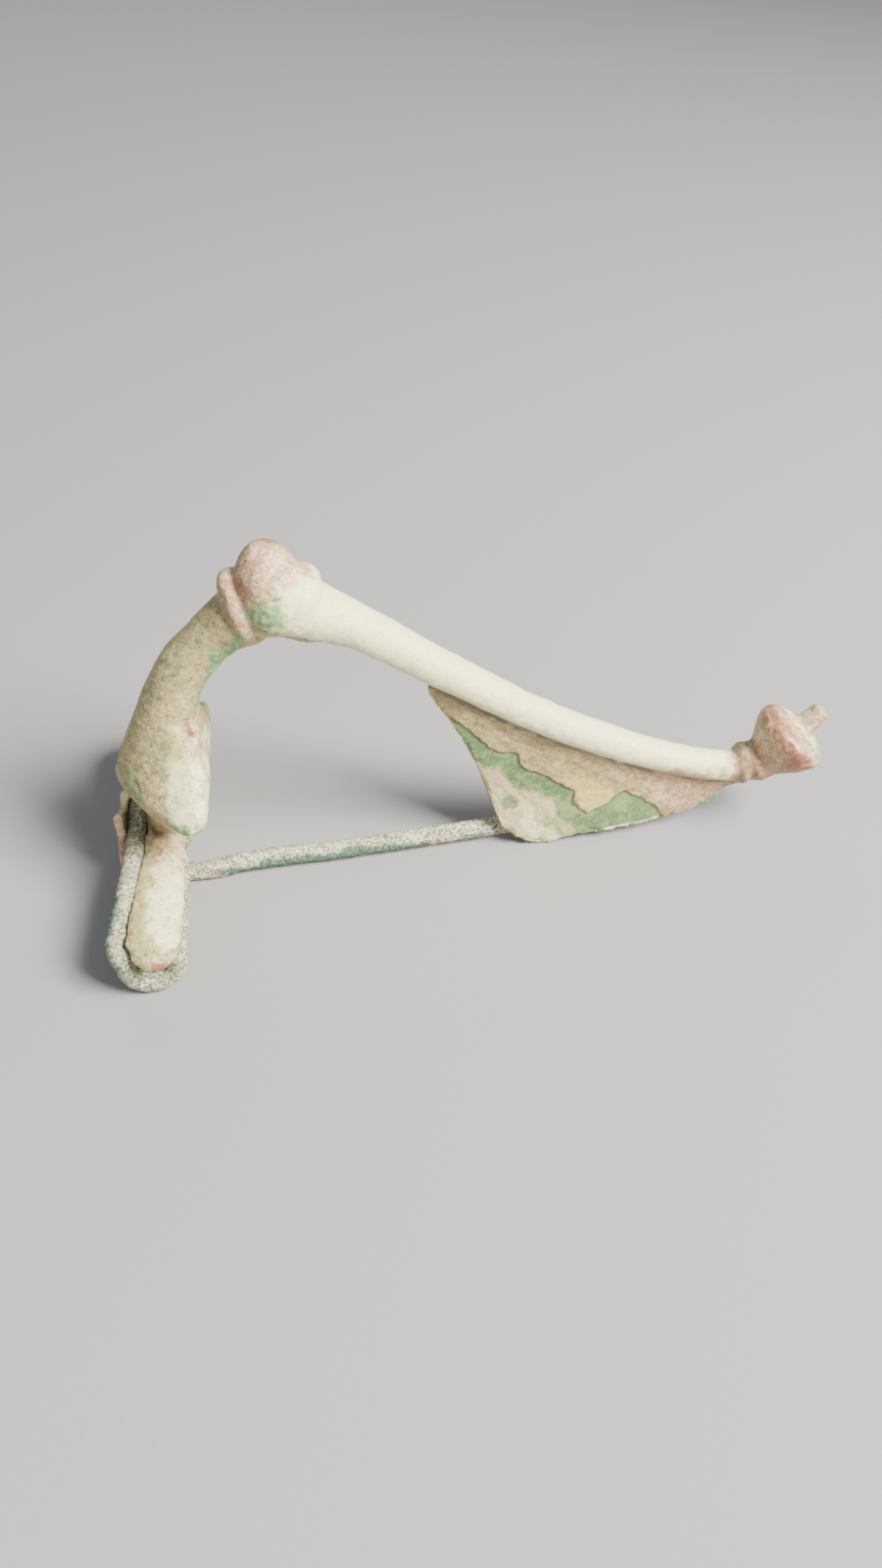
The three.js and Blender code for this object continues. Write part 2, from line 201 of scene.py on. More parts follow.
def smooth_line(points, steps=24):
    """A smooth line through points, which may carry a radius or other numbers beside their place."""
    points = np.asarray(points, float)
    padded = np.vstack([2 * points[0] - points[1], points, 2 * points[-1] - points[-2]])
    share = np.linspace(0, 1, steps, endpoint=False)[:, None]
    pieces = []
    for before, start, end, after in zip(padded, padded[1:], padded[2:], padded[3:]):
        gap0, gap1, gap2 = (
            max(np.linalg.norm(b[:3] - a[:3]) ** 0.5, 1e-6)
            for a, b in ((before, start), (start, end), (end, after))
        )
        leave = (start - before) / gap0 - (end - before) / (gap0 + gap1) + (end - start) / gap1
        arrive = (end - start) / gap1 - (after - start) / (gap1 + gap2) + (after - end) / gap2
        leave, arrive = leave * gap1, arrive * gap1
        square = 3 * (end - start) - 2 * leave - arrive
        cube = 2 * (start - end) + leave + arrive
        pieces.append(start + leave * share + square * share**2 + cube * share**3)
    return np.vstack([*pieces, points[-1]])


def along(line, shares):
    """Points of a line at shares of its own length."""
    steps = np.linalg.norm(np.diff(line[:, :3], axis=0), axis=1)
    run = np.concatenate([[0], np.cumsum(steps)])
    return np.stack([np.interp(np.asarray(shares) * run[-1], run, column) for column in line.T], axis=1)


def through(table, places):
    """Smooth reading of a table whose first column is the place."""
    table = np.asarray(table, float)
    line = smooth_line(np.column_stack([table, np.zeros((len(table), max(0, 3 - table.shape[1])))]))
    place, *columns = line[np.argsort(line[:, 0], kind="stable"), :table.shape[1]].T
    return np.stack([np.interp(places, place, column) for column in columns], axis=1)


# Repeatable noise


def chance(cells, seed):
    """A repeatable number from 0 to 1 for each whole-number cell."""
    mixed = cells.astype(np.int64) @ np.array([73856093, 19349663, 83492791]) + seed * 9176263
    mixed = (mixed ^ (mixed >> 13)) * 1274126177
    mixed = (mixed ^ (mixed >> 15)) * 1103515245
    return ((mixed >> 16) & 0xFFFF) / 0xFFFF


def noise(points, grain, seed=0):
    """Smooth noise from -1 to 1, with bumps about one grain apart."""
    scaled = points / grain
    low = np.floor(scaled).astype(np.int64)
    share = scaled - low
    share = share * share * (3 - 2 * share)
    total = np.zeros(len(points))
    for corner in itertools.product((0, 1), repeat=3):
        weight = np.prod(np.where(corner, share, 1 - share), axis=1)
        total += weight * chance(low + np.array(corner), seed)
    return 2 * total - 1


def rough(points, grain, octaves=3, seed=0):
    """Noise with finer noise on it."""
    total = sum(noise(points, grain / 2**o, seed + o) / 2**o for o in range(octaves))
    return total / (2 - 2 ** (1 - octaves))


def pits(points, spacing, share, seed=0):
    """1 in the middle of a pit and 0 outside, with pits in a share of the cells."""
    scaled = points / spacing
    low = np.floor(scaled).astype(np.int64)
    deepest = np.zeros(len(points))
    for corner in itertools.product((-1, 0, 1), repeat=3):
        cell = low + np.array(corner)
        place = cell + np.stack([chance(cell, seed + axis) for axis in (1, 2, 3)], axis=1)
        size = 0.2 + 0.3 * chance(cell, seed + 4)
        there = chance(cell, seed + 5) < share
        distance = np.linalg.norm(scaled - place, axis=1)
        deepest = np.maximum(deepest, there * ease(0, 1, 1 - distance / size))
    return deepest


# Meshes


def loft(rings):
    """A closed body through rings with the same number of points: its points and its faces."""
    rings = np.asarray(rings, float)
    rows, count = rings.shape[:2]
    index = np.arange(rows * count).reshape(rows, count)
    a, b = index[:-1], index[1:]
    quads = np.stack([a, np.roll(a, -1, 1), np.roll(b, -1, 1), b], axis=-1).reshape(-1, 4)
    return rings.reshape(-1, 3), [*quads.tolist(), index[0][::-1].tolist(), index[-1].tolist()]


def new_object(name, data):
    """An object in the scene."""
    made = bpy.data.objects.new(name, data)
    bpy.context.scene.collection.objects.link(made)
    return made


def mesh_object(name, bodies):
    """One object from several bodies of points and faces."""
    points, faces, start = [], [], 0
    for body_points, body_faces in bodies:
        points.append(body_points)
        faces += [[start + corner for corner in face] for face in body_faces]
        start += len(body_points)
    mesh = bpy.data.meshes.new(name)
    mesh.from_pydata(np.vstack(points).tolist(), [], faces)
    return new_object(name, mesh)


def settled(made, name):
    """The object with its modifiers worked into a plain mesh."""
    graph = bpy.context.evaluated_depsgraph_get()
    mesh = bpy.data.meshes.new_from_object(made.evaluated_get(graph))
    mesh.name = name
    bpy.data.objects.remove(made)
    return new_object(name, mesh)


def read_points(mesh, what="co"):
    """The places of a mesh's points, or their normals."""
    flat = np.zeros(len(mesh.vertices) * 3)
    mesh.vertices.foreach_get(what, flat)
    return flat.reshape(-1, 3)


def move_points(mesh, points):
    mesh.vertices.foreach_set("co", points.ravel())
    mesh.update()


def keep_fields(mesh, **fields):
    """Keeps numbers for each point, which a finish reads by their names."""
    for name, values in fields.items():
        field = mesh.attributes.new(name, "FLOAT", "POINT")
        field.data.foreach_set("value", np.asarray(values, np.float32))


def smoothed(mesh, values, rounds):
    """Values spread to their neighbours along the mesh's edges."""
    pairs = np.zeros(len(mesh.edges) * 2, np.int64)
    mesh.edges.foreach_get("vertices", pairs)
    first, second = pairs.reshape(-1, 2).T
    count = np.bincount(pairs, minlength=len(mesh.vertices))[:, None]
    for _ in range(rounds):
        total = np.zeros_like(values)
        for column in range(values.shape[1]):
            total[:, column] = np.bincount(first, values[second, column], len(values))
            total[:, column] += np.bincount(second, values[first, column], len(values))
        values = blend(values, total / count, 0.6)
    return values


def put_in_frame(piece, finish):
    """Moves a piece made in millimetres from the spring's line into the frame, and gives it its finish."""
    size = sizes()
    outermost = mm(size.coil_diameter / 2 + size.clearance + size.hook_thickness) - SPRING_X
    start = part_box("bow")[0].x + outermost * MM
    piece.data.transform(Matrix.Translation((start, 0, 0)) @ Matrix.Scale(MM, 4))
    piece.data.materials.clear()
    piece.data.materials.append(finish)


# The casting


BOW_LINE = (
    (0.042, 0.658), (0.066, 0.768), (0.106, 0.871), (0.143, 0.944), (0.172, 0.984), (0.197, 1),
    (0.222, 0.987), (0.251, 0.952), (0.3, 0.895), (0.386, 0.769), (0.474, 0.644), (0.538, 0.555),
    (0.626, 0.452), (0.718, 0.36), (0.815, 0.286), (0.872, 0.26), (0.902, 0.259), (0.919, 0.27),
    (0.932, 0.297), (0.948, 0.336), (0.969, 0.394), (1, 0.476),
)


def bow_line():
    """The bow's middle line from the neck to the tip of the stub."""
    reach, height = mm(sizes().bow_reach), mm(sizes().bow_height)
    return smooth_line([(x * reach, 0, z * height) for x, z in BOW_LINE])


def section(centre, lean, outer, inner, half, outer_power=1, inner_power=1, arris=0):
    """A ring across the bow. An arris of 1 cuts its underside off, hollow between two sharp edges."""
    turn = np.arange(BOW_SIDES) * 2 * math.pi / BOW_SIDES
    rise, side = np.cos(turn), np.sin(turn)
    power = np.where(rise > 0, outer_power, inner_power)
    up = np.sign(rise) * np.abs(rise) ** power * np.where(rise > 0, outer, inner)
    across = half * np.sign(side) * np.abs(side) ** power
    underside = -inner * (0.5 + 0.32 * np.abs(across) / half)
    up = blend(up, np.maximum(up, underside), arris)
    return np.stack([centre[0] - up * math.cos(lean), across, centre[1] + up * math.sin(lean)], axis=1)


def head_rings():
    """The trumpet head, from the cover up to the neck."""
    size = sizes()
    rim, half_width = mm(size.head_rim), mm(size.head_half)
    cover_top = mm(size.coil_diameter + size.clearance + size.cover_thickness * 0.4)
    # Height, lean in degrees, outer edge, inner edge, half width, outer and inner power
    levels = (
        (cover_top, 0, -0.9, 1.6, 0.33, 1, 0.8),
        (rim - 4, 0, -0.9, 3, 0.42, 1, 0.7),
        (rim - 2.2, 5, -1.4, 4.6, 0.7, 1.3, 0.55),
        (rim - 0.7, 10, -2.3, 5.4, 0.94, 1.6, 0.42),
        (rim, 10, -2.7, 5.7, 1, 1.6, 0.42),
        (rim + 0.7, 10, -2.9, 5.75, 0.96, 1.5, 0.42),
        (rim + 1.8, 11, -2.9, 5.7, 0.76, 1.3, 0.46),
        (rim + 3.3, 13, -2.45, 5.55, 0.56, 1.15, 0.55),
        (rim + 5.2, 16, -1.65, 5.4, 0.4, 1, 0.7),
    )
    heights = np.linspace(levels[0][0], levels[-1][0], HEAD_RINGS)
    rings = []
    for height, row in zip(heights, through(levels, heights)):
        lean, outer_x, inner_x, half, *powers = row
        tilt = math.radians(lean)
        datum = blend(outer_x, inner_x, 0.8)
        outer, inner = (datum - outer_x) / math.cos(tilt), (inner_x - datum) / math.cos(tilt)
        rings.append(section((datum, height), -tilt, outer, inner, half * half_width, *powers))
    return rings


def bow_sizes(shares):
    """Outer, inner and side half sizes of the bow's plain core at shares of its length."""
    size = sizes()
    neck, foot = mm(size.neck_radius), mm(size.foot_radius)
    knob, stub = mm(size.knob_radius), mm(size.stub_radius)
    table = (
        (0, neck * 1.14), (0.05, neck * 1.02), (0.1, neck * 0.95), (0.15, neck * 1.05), (0.25, neck * 1.08),
        (0.3, foot * 1.22), (0.39, foot * 1.14), (0.63, foot), (0.8, foot * 0.96), (0.875, foot),
        (0.9, foot * 1.3), (0.912, foot * 1.66), (0.924, foot * 2.06), (0.934, knob * 0.93), (0.943, knob),
        (0.952, knob * 0.98), (0.959, knob * 0.8), (0.9635, stub * 1.9), (0.967, stub * 1.2), (0.985, stub),
        (0.996, stub * 0.9), (1, stub * 0.7),
    )
    plain = np.interp(shares, *zip(*table))
    under_crown = ease(0.115, 0.16, shares) * (1 - ease(0.235, 0.275, shares))
    back = np.interp(shares, (0, 0.04, 0.065, 0.13), (0, 0.02, 0.12, 0))
    return plain + back, plain + 0.75 * under_crown, plain + 0.35 * under_crown


def bow_rings():
    shares = np.linspace(0, 1, BOW_RINGS)
    line = along(bow_line(), shares)
    way = np.gradient(line, axis=0)
    lean = math.pi / 2 - np.arctan2(way[:, 2], way[:, 0])
    arris = ease(0.27, 0.34, shares) * (1 - ease(0.855, 0.868, shares))
    return [
        section((x, z), tilt, outer, inner, side, arris=edge)
        for (x, _, z), tilt, outer, inner, side, edge in zip(line, lean, *bow_sizes(shares), arris)
    ]


def mouldings():
    """Share of the bow, tilt in degrees, half length, outer, inner and side reach, and roundness."""
    size = sizes()
    neck, foot = mm(size.neck_radius), mm(size.foot_radius)
    crown, rise = mm(size.crown_radius), mm(size.crown_rise)
    return (
        (0.1632, -12, 1.22, neck + 1.75, neck + 0.8, neck + 1, 0.5),
        (0.1965, 0, 3.05, crown + rise, crown * 0.8, crown, 0.95),
        (0.2225, 0, 1.7, neck + 1.3, neck + 0.85, neck + 1.15, 0.5),
        (0.867, 4, 0.66, foot + 0.95, foot + 0.15, foot + 0.5, 0.4),
        (0.8855, 8, 0.66, foot + 0.95, foot + 0.15, foot + 0.6, 0.4),
    )


def moulding_rings(middle, tilt, half, outer, inner, side, roundness):
    """A collar, bead or ring turned about its own axis."""
    before, centre, after = along(bow_line(), [middle - 0.003, middle, middle + 0.003])
    slope = math.atan2(after[2] - before[2], after[0] - before[0]) + math.radians(tilt)
    rings = []
    for turn in np.linspace(-math.pi / 2, math.pi / 2, MOULDING_RINGS):
        step, swell = half * math.sin(turn), max(math.cos(turn), 0.01) ** roundness
        place = (centre[0] + step * math.cos(slope), centre[2] + step * math.sin(slope))
        rings.append(section(place, math.pi / 2 - slope, outer * swell, inner * swell, side * swell))
    return rings


def cover_rings():
    """The curved strip over the top of the spring, which follows the chord and droops at its ends."""
    size = sizes()
    coil = coil_radius()
    inner = coil + mm(size.clearance)
    outer = inner + mm(size.cover_thickness)
    start = math.radians(COVER_START)
    beside_chord = math.asin((wire_radius() + CHORD_SEAM) / chord_distance())
    half = spring_half() + wire_radius() + mm(size.cover_overhang)
    rings = []
    for place in np.sin(np.linspace(-math.pi / 2, math.pi / 2, COVER_RINGS)):
        y = place * half
        spread = 0.04 * ease(half - 1.4, half - 0.4, abs(y))
        end = math.pi / 2 + chord_angle(y) - beside_chord + spread
        middle, span = (start + end) / 2, (end - start) / 2
        inward = min(1, (1 - abs(place)) * half / COVER_CORNER)
        width = span * max(0.5, (1 - (1 - inward) ** 2.4) ** 0.5)
        droop = COVER_DROOP * ease(half - 2.1, half + 0.2, abs(y))
        ring = []
        for radius, way in ((outer - droop, 1), (inner - droop, -1)):
            angle = middle + way * width * np.linspace(-1, 1, COVER_POINTS)
            x, z = SPRING_X + radius * np.cos(angle), coil + radius * np.sin(angle)
            ring.append(np.stack([x, np.full_like(x, y), z], axis=1))
        rings.append(np.vstack(ring))
    return rings


def hook_strip_rings():
    """The strip bent from the head over the chord, behind the trumpet's corner."""
    size = sizes()
    reach = wire_radius() + mm(size.hook_thickness) * 0.6
    chord_x, _, chord_z = chord_at(HOOK_STRIP)
    over_chord = (math.radians(angle) for angle in (80, 120))
    route = [
        (0.4, chord_z + reach + 0.1),
        *((chord_x + reach * math.cos(angle), chord_z + reach * math.sin(angle)) for angle in over_chord),
        (HOOK_LEAF + 0.22, chord_z + 0.3), (HOOK_LEAF + 0.15, chord_z - 0.9),
    ]
    line = smooth_line([(x, 0, z) for x, z in route], 8)
    way = np.gradient(line, axis=0)
    way /= np.linalg.norm(way, axis=1)[:, None]
    thick, half = mm(size.hook_thickness) * 0.38, mm(size.hook_width) * 0.3
    return [
        [
            (x - dz * a * thick, HOOK_STRIP + s * half, z + dx * a * thick)
            for a, s in ((-1, -1), (1, -1), (1, 1), (-1, 1))
        ]
        for (x, _, z), (dx, _, dz) in zip(line, way)
    ]


def hook_leaf_rings():
    """The leaf of the hook that holds the chord from outside, flat on top and narrow below."""
    thick = mm(sizes().hook_thickness) * 0.75
    # Place along the spring, lowest and highest point
    outline = (
        (-2.45, 2.7, 9.3), (-2.2, 1.9, 9.6), (-1.2, 2.3, 8.9), (0, 4, 8),
        (1, 5.2, 7.4), (1.8, 5.8, 7.3), (HOOK_STRIP + 0.9, 6.2, 7.6),
    )
    rings = []
    for y, low, high in outline:
        z = np.linspace(low, high, LEAF_POINTS)
        x = HOOK_LEAF - 0.3 * (1 - ease(3.2, 6.2, z))
        outside, inside = (np.stack([x + side, np.full_like(x, y), z], axis=1) for side in (-thick, thick))
        rings.append(np.vstack([outside, inside[::-1]]))
    return rings


# The plate's free edge, in shares of the bow's reach and height
CATCH_EDGE = (
    (0.398, 0.645), (0.43, 0.54), (0.456, 0.426), (0.48, 0.31), (0.498, 0.19), (0.515, 0.09), (0.54, 0.04),
    (0.575, 0), (0.6, 0.004), (0.62, 0.018), (0.67, 0.034), (0.705, 0.042), (0.785, 0.062), (0.85, 0.1),
    (0.868, 0.165), (0.895, 0.195),
)


def catch_edge(x):
    """Height of the plate's free edge."""
    reach, height = mm(sizes().bow_reach), mm(sizes().bow_height)
    return np.interp(x, [a * reach for a, _ in CATCH_EDGE], [b * height for _, b in CATCH_EDGE])


def plate_lean(x, z):
    """How far the plate leans to the near side, low down where its edge is folded."""
    return mm(sizes().plate_bend) * (1 - ease(1.2, 7, z)) * (1 - ease(FOLD_END - 4, FOLD_END + 6, x))


def plate_rings():
    reach = mm(sizes().bow_reach)
    half = mm(sizes().plate_thickness) / 2
    line = bow_line()
    rings = []
    for x in np.linspace(CATCH_EDGE[0][0] * reach, CATCH_EDGE[-1][0] * reach, PLATE_RINGS):
        top = np.interp(x, line[:, 0], line[:, 2])
        low = catch_edge(x) + FOLD_PROUD
        z = np.linspace(top, low, PLATE_POINTS)
        spread = half + 0.35 * (1 - ease(0.9, 2.6, top - z))
        near, far = (
            np.stack([np.full_like(z, x), side * spread - plate_lean(x, z), z], axis=1) for side in (-1, 1)
        )
        rings.append(np.vstack([near, far[::-1]]))
    return rings


def fold_rings():
    """The folded edge that holds the pin: a floor and a lip on the far side."""
    size = sizes()
    thick, inner = mm(size.fold_thickness), mm(size.plate_thickness) / 2 - mm(size.plate_bend)
    width = 2 * (wire_radius() * PIN_SEAT + mm(size.clearance))
    near, inside, outside = inner - mm(size.plate_thickness) * 0.6, inner + width, inner + width + thick
    rings = []
    for share in np.linspace(0, 1, FOLD_RINGS):
        x = blend(CATCH_CORNER, FOLD_END, share)
        low = catch_edge(x)
        lip = max(thick * 1.3, mm(size.fold_lip) * min(1, 0.45 + share * 5, 1.15 - share * 0.7))
        corners = (
            (near, low), (outside, low), (outside, low + lip),
            (inside, low + lip), (inside, low + thick), (near, low + thick),
        )
        rings.append([(x, y, z) for y, z in corners])
    return rings


# Where the patina's skin ends on the near side of the plate, from the left edge to the lower edge
SKIN_EDGE = (
    (27.5, 17.6), (29.95, 15.35), (32.5, 12.65), (34.65, 11.95), (35.15, 10.5), (37.6, 9.1), (39.6, 7.45),
    (40.6, 6.6), (40.9, 5.2), (42.2, 4.05), (43.8, 4.6), (46.1, 6.05), (47.4, 5.4), (48.8, 4.4),
    (50.3, 2.75), (51.2, 1.2), (51.3, -1),
)


def below_skin_edge(points):
    """How far inside the flaked area each point lies, in millimetres, negative on the skin."""
    edge = smooth_line([(x, 0, z) for x, z in SKIN_EDGE], 6)
    flat = points * (1, 0, 1)
    nearest = np.min([distance_to(flat, start, end) for start, end in zip(edge, edge[1:])], axis=0)
    x, _, z = edge[np.argsort(edge[:, 0], kind="stable")].T
    below = np.interp(flat[:, 0], x, z, left=-40, right=-40) > flat[:, 2]
    return np.where(below, nearest, -nearest)


# The photo's line of sight. A mark on the near side reaches further along it than across it
SIGHT = np.array((0.04, 0.72, -0.69))


def distance_to(points, start, end):
    """Distance of each point from a streak, which on the near side counts less along the line of sight."""
    start, end = np.asarray(start, float), np.asarray(end, float)
    way = end - start
    share = np.clip(((points - start) @ way) / max(way @ way, 1e-9), 0, 1)
    apart = points - start - share[:, None] * way
    if start[1] < 0:
        apart -= 0.6 * (apart @ SIGHT)[:, None] * SIGHT
    return np.linalg.norm(apart, axis=1)


def patch(points, marks, seed):
    """1 inside any of the marks and 0 outside, with uneven borders.

    A mark is a place, or the two ends of a streak, then a radius and a strength.
    """
    found = np.zeros(len(points))
    wander = 0.55 * rough(points, 1.5, 3, seed) + 0.2 * noise(points, 0.45, seed + 5)
    for *ends, radius, strength in marks:
        distance = distance_to(points, ends[:3], ends[-3:]) / radius
        found = np.maximum(found, strength * (1 - ease(0.3, 1.35, distance + wander)))
    return found


def grooves(points, lines):
    """1 in the middle of cut lines and 0 beside them. A line is its points, then its half width."""
    found = np.zeros(len(points))
    wander = 0.1 * noise(points, 0.7, 83)
    for *route, half in lines:
        for start, end in zip(route, route[1:]):
            found = np.maximum(found, 1 - ease(0, half, distance_to(points, start, end) + wander))
    return found


# Marks on the casting, in millimetres: a place or two ends, a radius and a strength
VERDIGRIS_MARKS = (
    (12.6, -3.9, 32, 1.7, 1.1), (9.8, -1.8, 28.3, 8.2, -1.9, 26.4, 0.85, 0.8),
    (7.9, -1.7, 26.2, 6.2, -1.6, 21.4, 1.15, 1), (9.4, 1.6, 27.6, 6.4, 1.6, 22.4, 1.3, 0.7),
    (5.9, -0.4, 21, 5.8, 2, 20, 1, 0.6), (-2.2, -0.9, 17.6, -2.9, -0.4, 15, 1, 0.85),
    (-2, -2, 15.6, -0.4, -4.6, 14, 0.9, 0.6), (-2.6, 1.6, 16.8, -1.8, 4.6, 14.2, 1.2, 0.6),
    (-0.2, -1, 20.2, -1.6, -1.2, 17.8, 0.5, 0.55), (3.4, -8.9, 13.4, 1.9, -8.5, 13.3, 0.75, 1),
    (4.9, -8.2, 13, 5.3, -6.4, 12.8, 0.6, 0.6), (1.5, -3.5, 19.5, 4.2, -4.2, 17, 0.8, 0.35),
    (-1, -9.5, 7.5, -0.9, -14.8, 7.4, 0.7, 0.4), (-0.9, -15.6, 7.3, -0.3, -16.6, 7.1, 0.7, 0.6),
    (1.2, 13, 7.4, -0.6, 15.5, 7.2, 1.3, 0.5), (2.3, 8, 6.9, 2.3, 11, 6.9, 0.8, 0.4),
    (18.6, -1.6, 26.3, 22.5, -1.6, 23.3, 0.55, 0.55), (25, -1.6, 21.7, 27.5, -1.5, 19.6, 0.5, 0.5),
    (34.4, -0.7, 5.7, 1.1, 0.75), (56.2, -0.6, 4.5, 54.7, -0.6, 3.2, 0.85, 1), (64.4, -2.7, 11.4, 0.7, 1),
    (65, -0.3, 15.2, 0.8, 0.8), (46, 2.2, 8, 41, 2.2, 9.5, 2.2, 0.8), (38, 2.2, 12, 34, 2.2, 13, 1.8, 0.6),
    (53, 2.2, 5.6, 50, 2.2, 6.4, 1.6, 0.8), (61.6, 3.4, 9.4, 62.6, 3.2, 12, 0.9, 0.6),
    (16.5, 3.2, 29.8, 1.6, 0.6), (12.6, 3.6, 31.6, 1.6, 0.5), (60.4, 1.9, 9.2, 1, 0.5),
)
COPPER_MARKS = (
    (10.6, 0.2, 34.9, 13.4, 0.9, 36, 0.7, 0.75), (11.4, -1.4, 34.6, 12.8, -0.6, 35.4, 0.35, 0.6),
    (9.9, -1.6, 33.8, 10.6, -2.2, 32.9, 0.7, 0.5), (12.9, 2.6, 34.6, 11.4, 3.2, 33, 2, 0.5),
    (60.3, 1.8, 14.4, 60.1, -0.8, 14.4, 1.1, 0.8), (60.4, -1.6, 13.8, 61.6, -3.8, 11.6, 1, 0.7),
    (61.6, -3.8, 11.4, 62.8, -3.4, 9.4, 1.2, 1.4), (62.9, -2.2, 8.6, 62.8, 1.6, 8.4, 1.3, 0.9),
    (60.4, 2.4, 13.8, 62, 3.9, 11, 1.2, 0.85), (63.9, -1.5, 13, 64.5, -1.3, 13.8, 0.5, 0.5),
    (57.2, -1.6, 7.6, 58.9, -1.8, 8.8, 1.1, 0.45), (59, -1.7, 7.6, 61.2, -2.6, 8.2, 0.9, 0.55),
    (58.9, -1.8, 9.4, 59.8, -1.6, 12.2, 1.7, 0.2), (60.6, -3, 8.4, 61.4, -3.4, 9.4, 1.2, 0.55),
    (51.5, -0.6, 5.3, 54.6, -0.6, 4, 1.2, 0.25), (50, -0.6, 8, 57, -0.6, 6.1, 0.8, 0.3),
    (0.5, -17.4, 5.8, 1.7, -17.3, 5.4, 0.5, 1.2), (5.4, 2, 19, 5.3, 3.4, 14.6, 0.8, 0.4),
    (4.4, -2.2, 19, 4.7, -2.8, 16.2, 0.6, 0.55), (9.4, -2.6, 31.6, 9.6, -3, 29.4, 0.7, 0.35),
)
# Pale bloom, and painted highlight on the lit faces of the head, cover, crown and knob and along the
# plate's lower edge
BLOOM_AND_HIGHLIGHT_MARKS = (
    (3.4, -5, 16.6, 3.8, -7.6, 13.6, 2.3, 0.8), (4.9, -3.4, 16.4, 5.2, -6.8, 13.6, 1.7, 0.75),
    (5.6, -0.5, 16.6, 5.4, 3, 14.4, 1.3, 0.6), (1.2, -7.5, 7.7, 1.4, -15, 7.5, 1.9, 0.85),
    (15.6, -1.4, 32.2, 15.8, 1.8, 32.8, 1.7, 0.85), (16.6, -2.6, 29.8, 15.4, -3.2, 30.6, 0.9, 0.5),
    (63.6, -0.6, 12.2, 63, 0.6, 13.6, 1.4, 0.9), (63.9, -2.6, 12, 64.3, -1.6, 11, 0.8, 0.7),
    (37.3, -1.4, 1.8, 0.8, 0.9), (36, -1.4, 3.4, 38.8, -1.4, 1.2, 1.1, 0.6),
    (44.6, -1.2, 1.3, 49.8, -0.9, 1.9, 0.4, 1.3), (1.2, 6.5, 7.7, 1.2, 12.5, 7.6, 1.8, 0.6),
    (-3.4, 2.6, 8.4, -3.4, 2.4, 6, 1, 0.8), (6.6, -2.6, 25.2, 4.6, -2.8, 22.4, 0.8, 0.5),
    (0.4, -5.6, 14.6, 0.8, 0.5),
)
ROSY_MARKS = (
    (10.4, -1.6, 33.8, 14, -0.6, 34.6, 2.6, 1), (12, 2, 34, 13.4, 2.6, 33, 2.2, 0.8),
    (9.2, -1.6, 32.6, 10.2, -2.8, 29.8, 0.9, 0.7), (0.8, -3, 8, 1.2, -7, 7.8, 2, 0.55),
    # The first mark here, on the near end of the hook's leaf, is pinkish tone laid on strongly as painted
    # light to lift the leaf from the head's shade
    (-3.9, -2.6, 9, -4, -2.2, 3, 1.2, 1.3), (57, -1.2, 9.6, 58.2, -1.6, 9.4, 1.1, 0.9),
    (58.9, -1.7, 8.6, 59.6, -1, 12.8, 1.8, 1), (60, 1.2, 14.4, 60.6, -2.6, 13.2, 1.6, 1.3),
    (60.8, -3.4, 12.6, 62.6, -3.2, 9.6, 1.6, 1.3), (60.6, 2.6, 13.4, 62, 3.8, 11, 1.4, 0.9),
    (63.8, -1.2, 13.2, 64.6, -1, 14.2, 1.1, 1.1), (49.5, -0.6, 6.8, 56.5, -0.6, 5, 2.3, 1),
    (44, -0.6, 9.6, 50, -0.6, 7.6, 0.9, 0.6), (4.7, -2, 20.2, 5, -3.4, 16.2, 0.7, 0.95),
    (1.2, -2.2, 20.6, 1.4, -2.6, 19.6, 0.3, 0.7), (30.6, -0.7, 11.6, 33.4, -0.8, 8.6, 0.9, 0.8),
    (33.4, -0.9, 4.6, 35.6, -1, 3.2, 0.9, 0.6),
)
OCHRE_MARKS = (
    (2.4, -14.4, 6.8, 2.4, -8.5, 6.8, 0.8, 1), (-0.4, -9.5, 7.6, -0.4, -14, 7.6, 0.9, 0.5),
    (41, -0.7, 7.4, 43.6, -0.7, 5.4, 1.7, 0.9), (38.6, -0.6, 10, 40.4, -0.6, 8.4, 0.9, 0.5),
    (3.5, -3.8, 19, 3.4, -4.6, 16.6, 0.9, 0.7), (3, -7.4, 13.9, 4.4, -8, 13.2, 1, 0.5),
    (0.3, -15.4, 7.4, 1.6, -16.4, 7, 0.9, 0.5), (2.4, 10.5, 6.6, 2.4, 13, 6.6, 0.9, 0.5),
    (9.2, -2.6, 27.4, 12.4, -3, 28.8, 0.9, 0.5),
)
# Lines cut or cracked into the casting, each with its half width at the end
CUT_LINES = (
    ((-0.3, -1, 20.4), (-0.5, -1.6, 19.2), 0.3),
    ((-1.1, -1.7, 18.4), (-1.3, -2, 17.2), (-1.3, -2.9, 15.9), (-0.5, -4.4, 14.6), 0.32),
    ((4.7, -2, 19.8), (4.7, -2.3, 18.2), (5, -2.9, 16.4), 0.6), ((5, 0.4, 18.6), (5.2, 0.8, 16), 0.25),
    ((5.2, 1.6, 18.6), (5.4, 2, 15.4), 0.25), ((5.4, 2.8, 17.8), (5.5, 3.4, 14.8), 0.22),
    ((11.9, -4.2, 31.6), (12.2, -4.2, 31.2), 0.45), ((12.8, -3.6, 33), (13.5, -3.3, 33), 0.25),
    ((7.2, -2.2, 24.8), (7, -2.2, 23.9), 0.4), ((6.6, -2.2, 22.6), (6.5, -2.1, 21.9), 0.4),
    ((15.9, -3, 30.9), (16.6, -2.8, 30.6), 0.2), ((18.5, -1.6, 30), (18.9, -1.6, 29.7), 0.22),
)


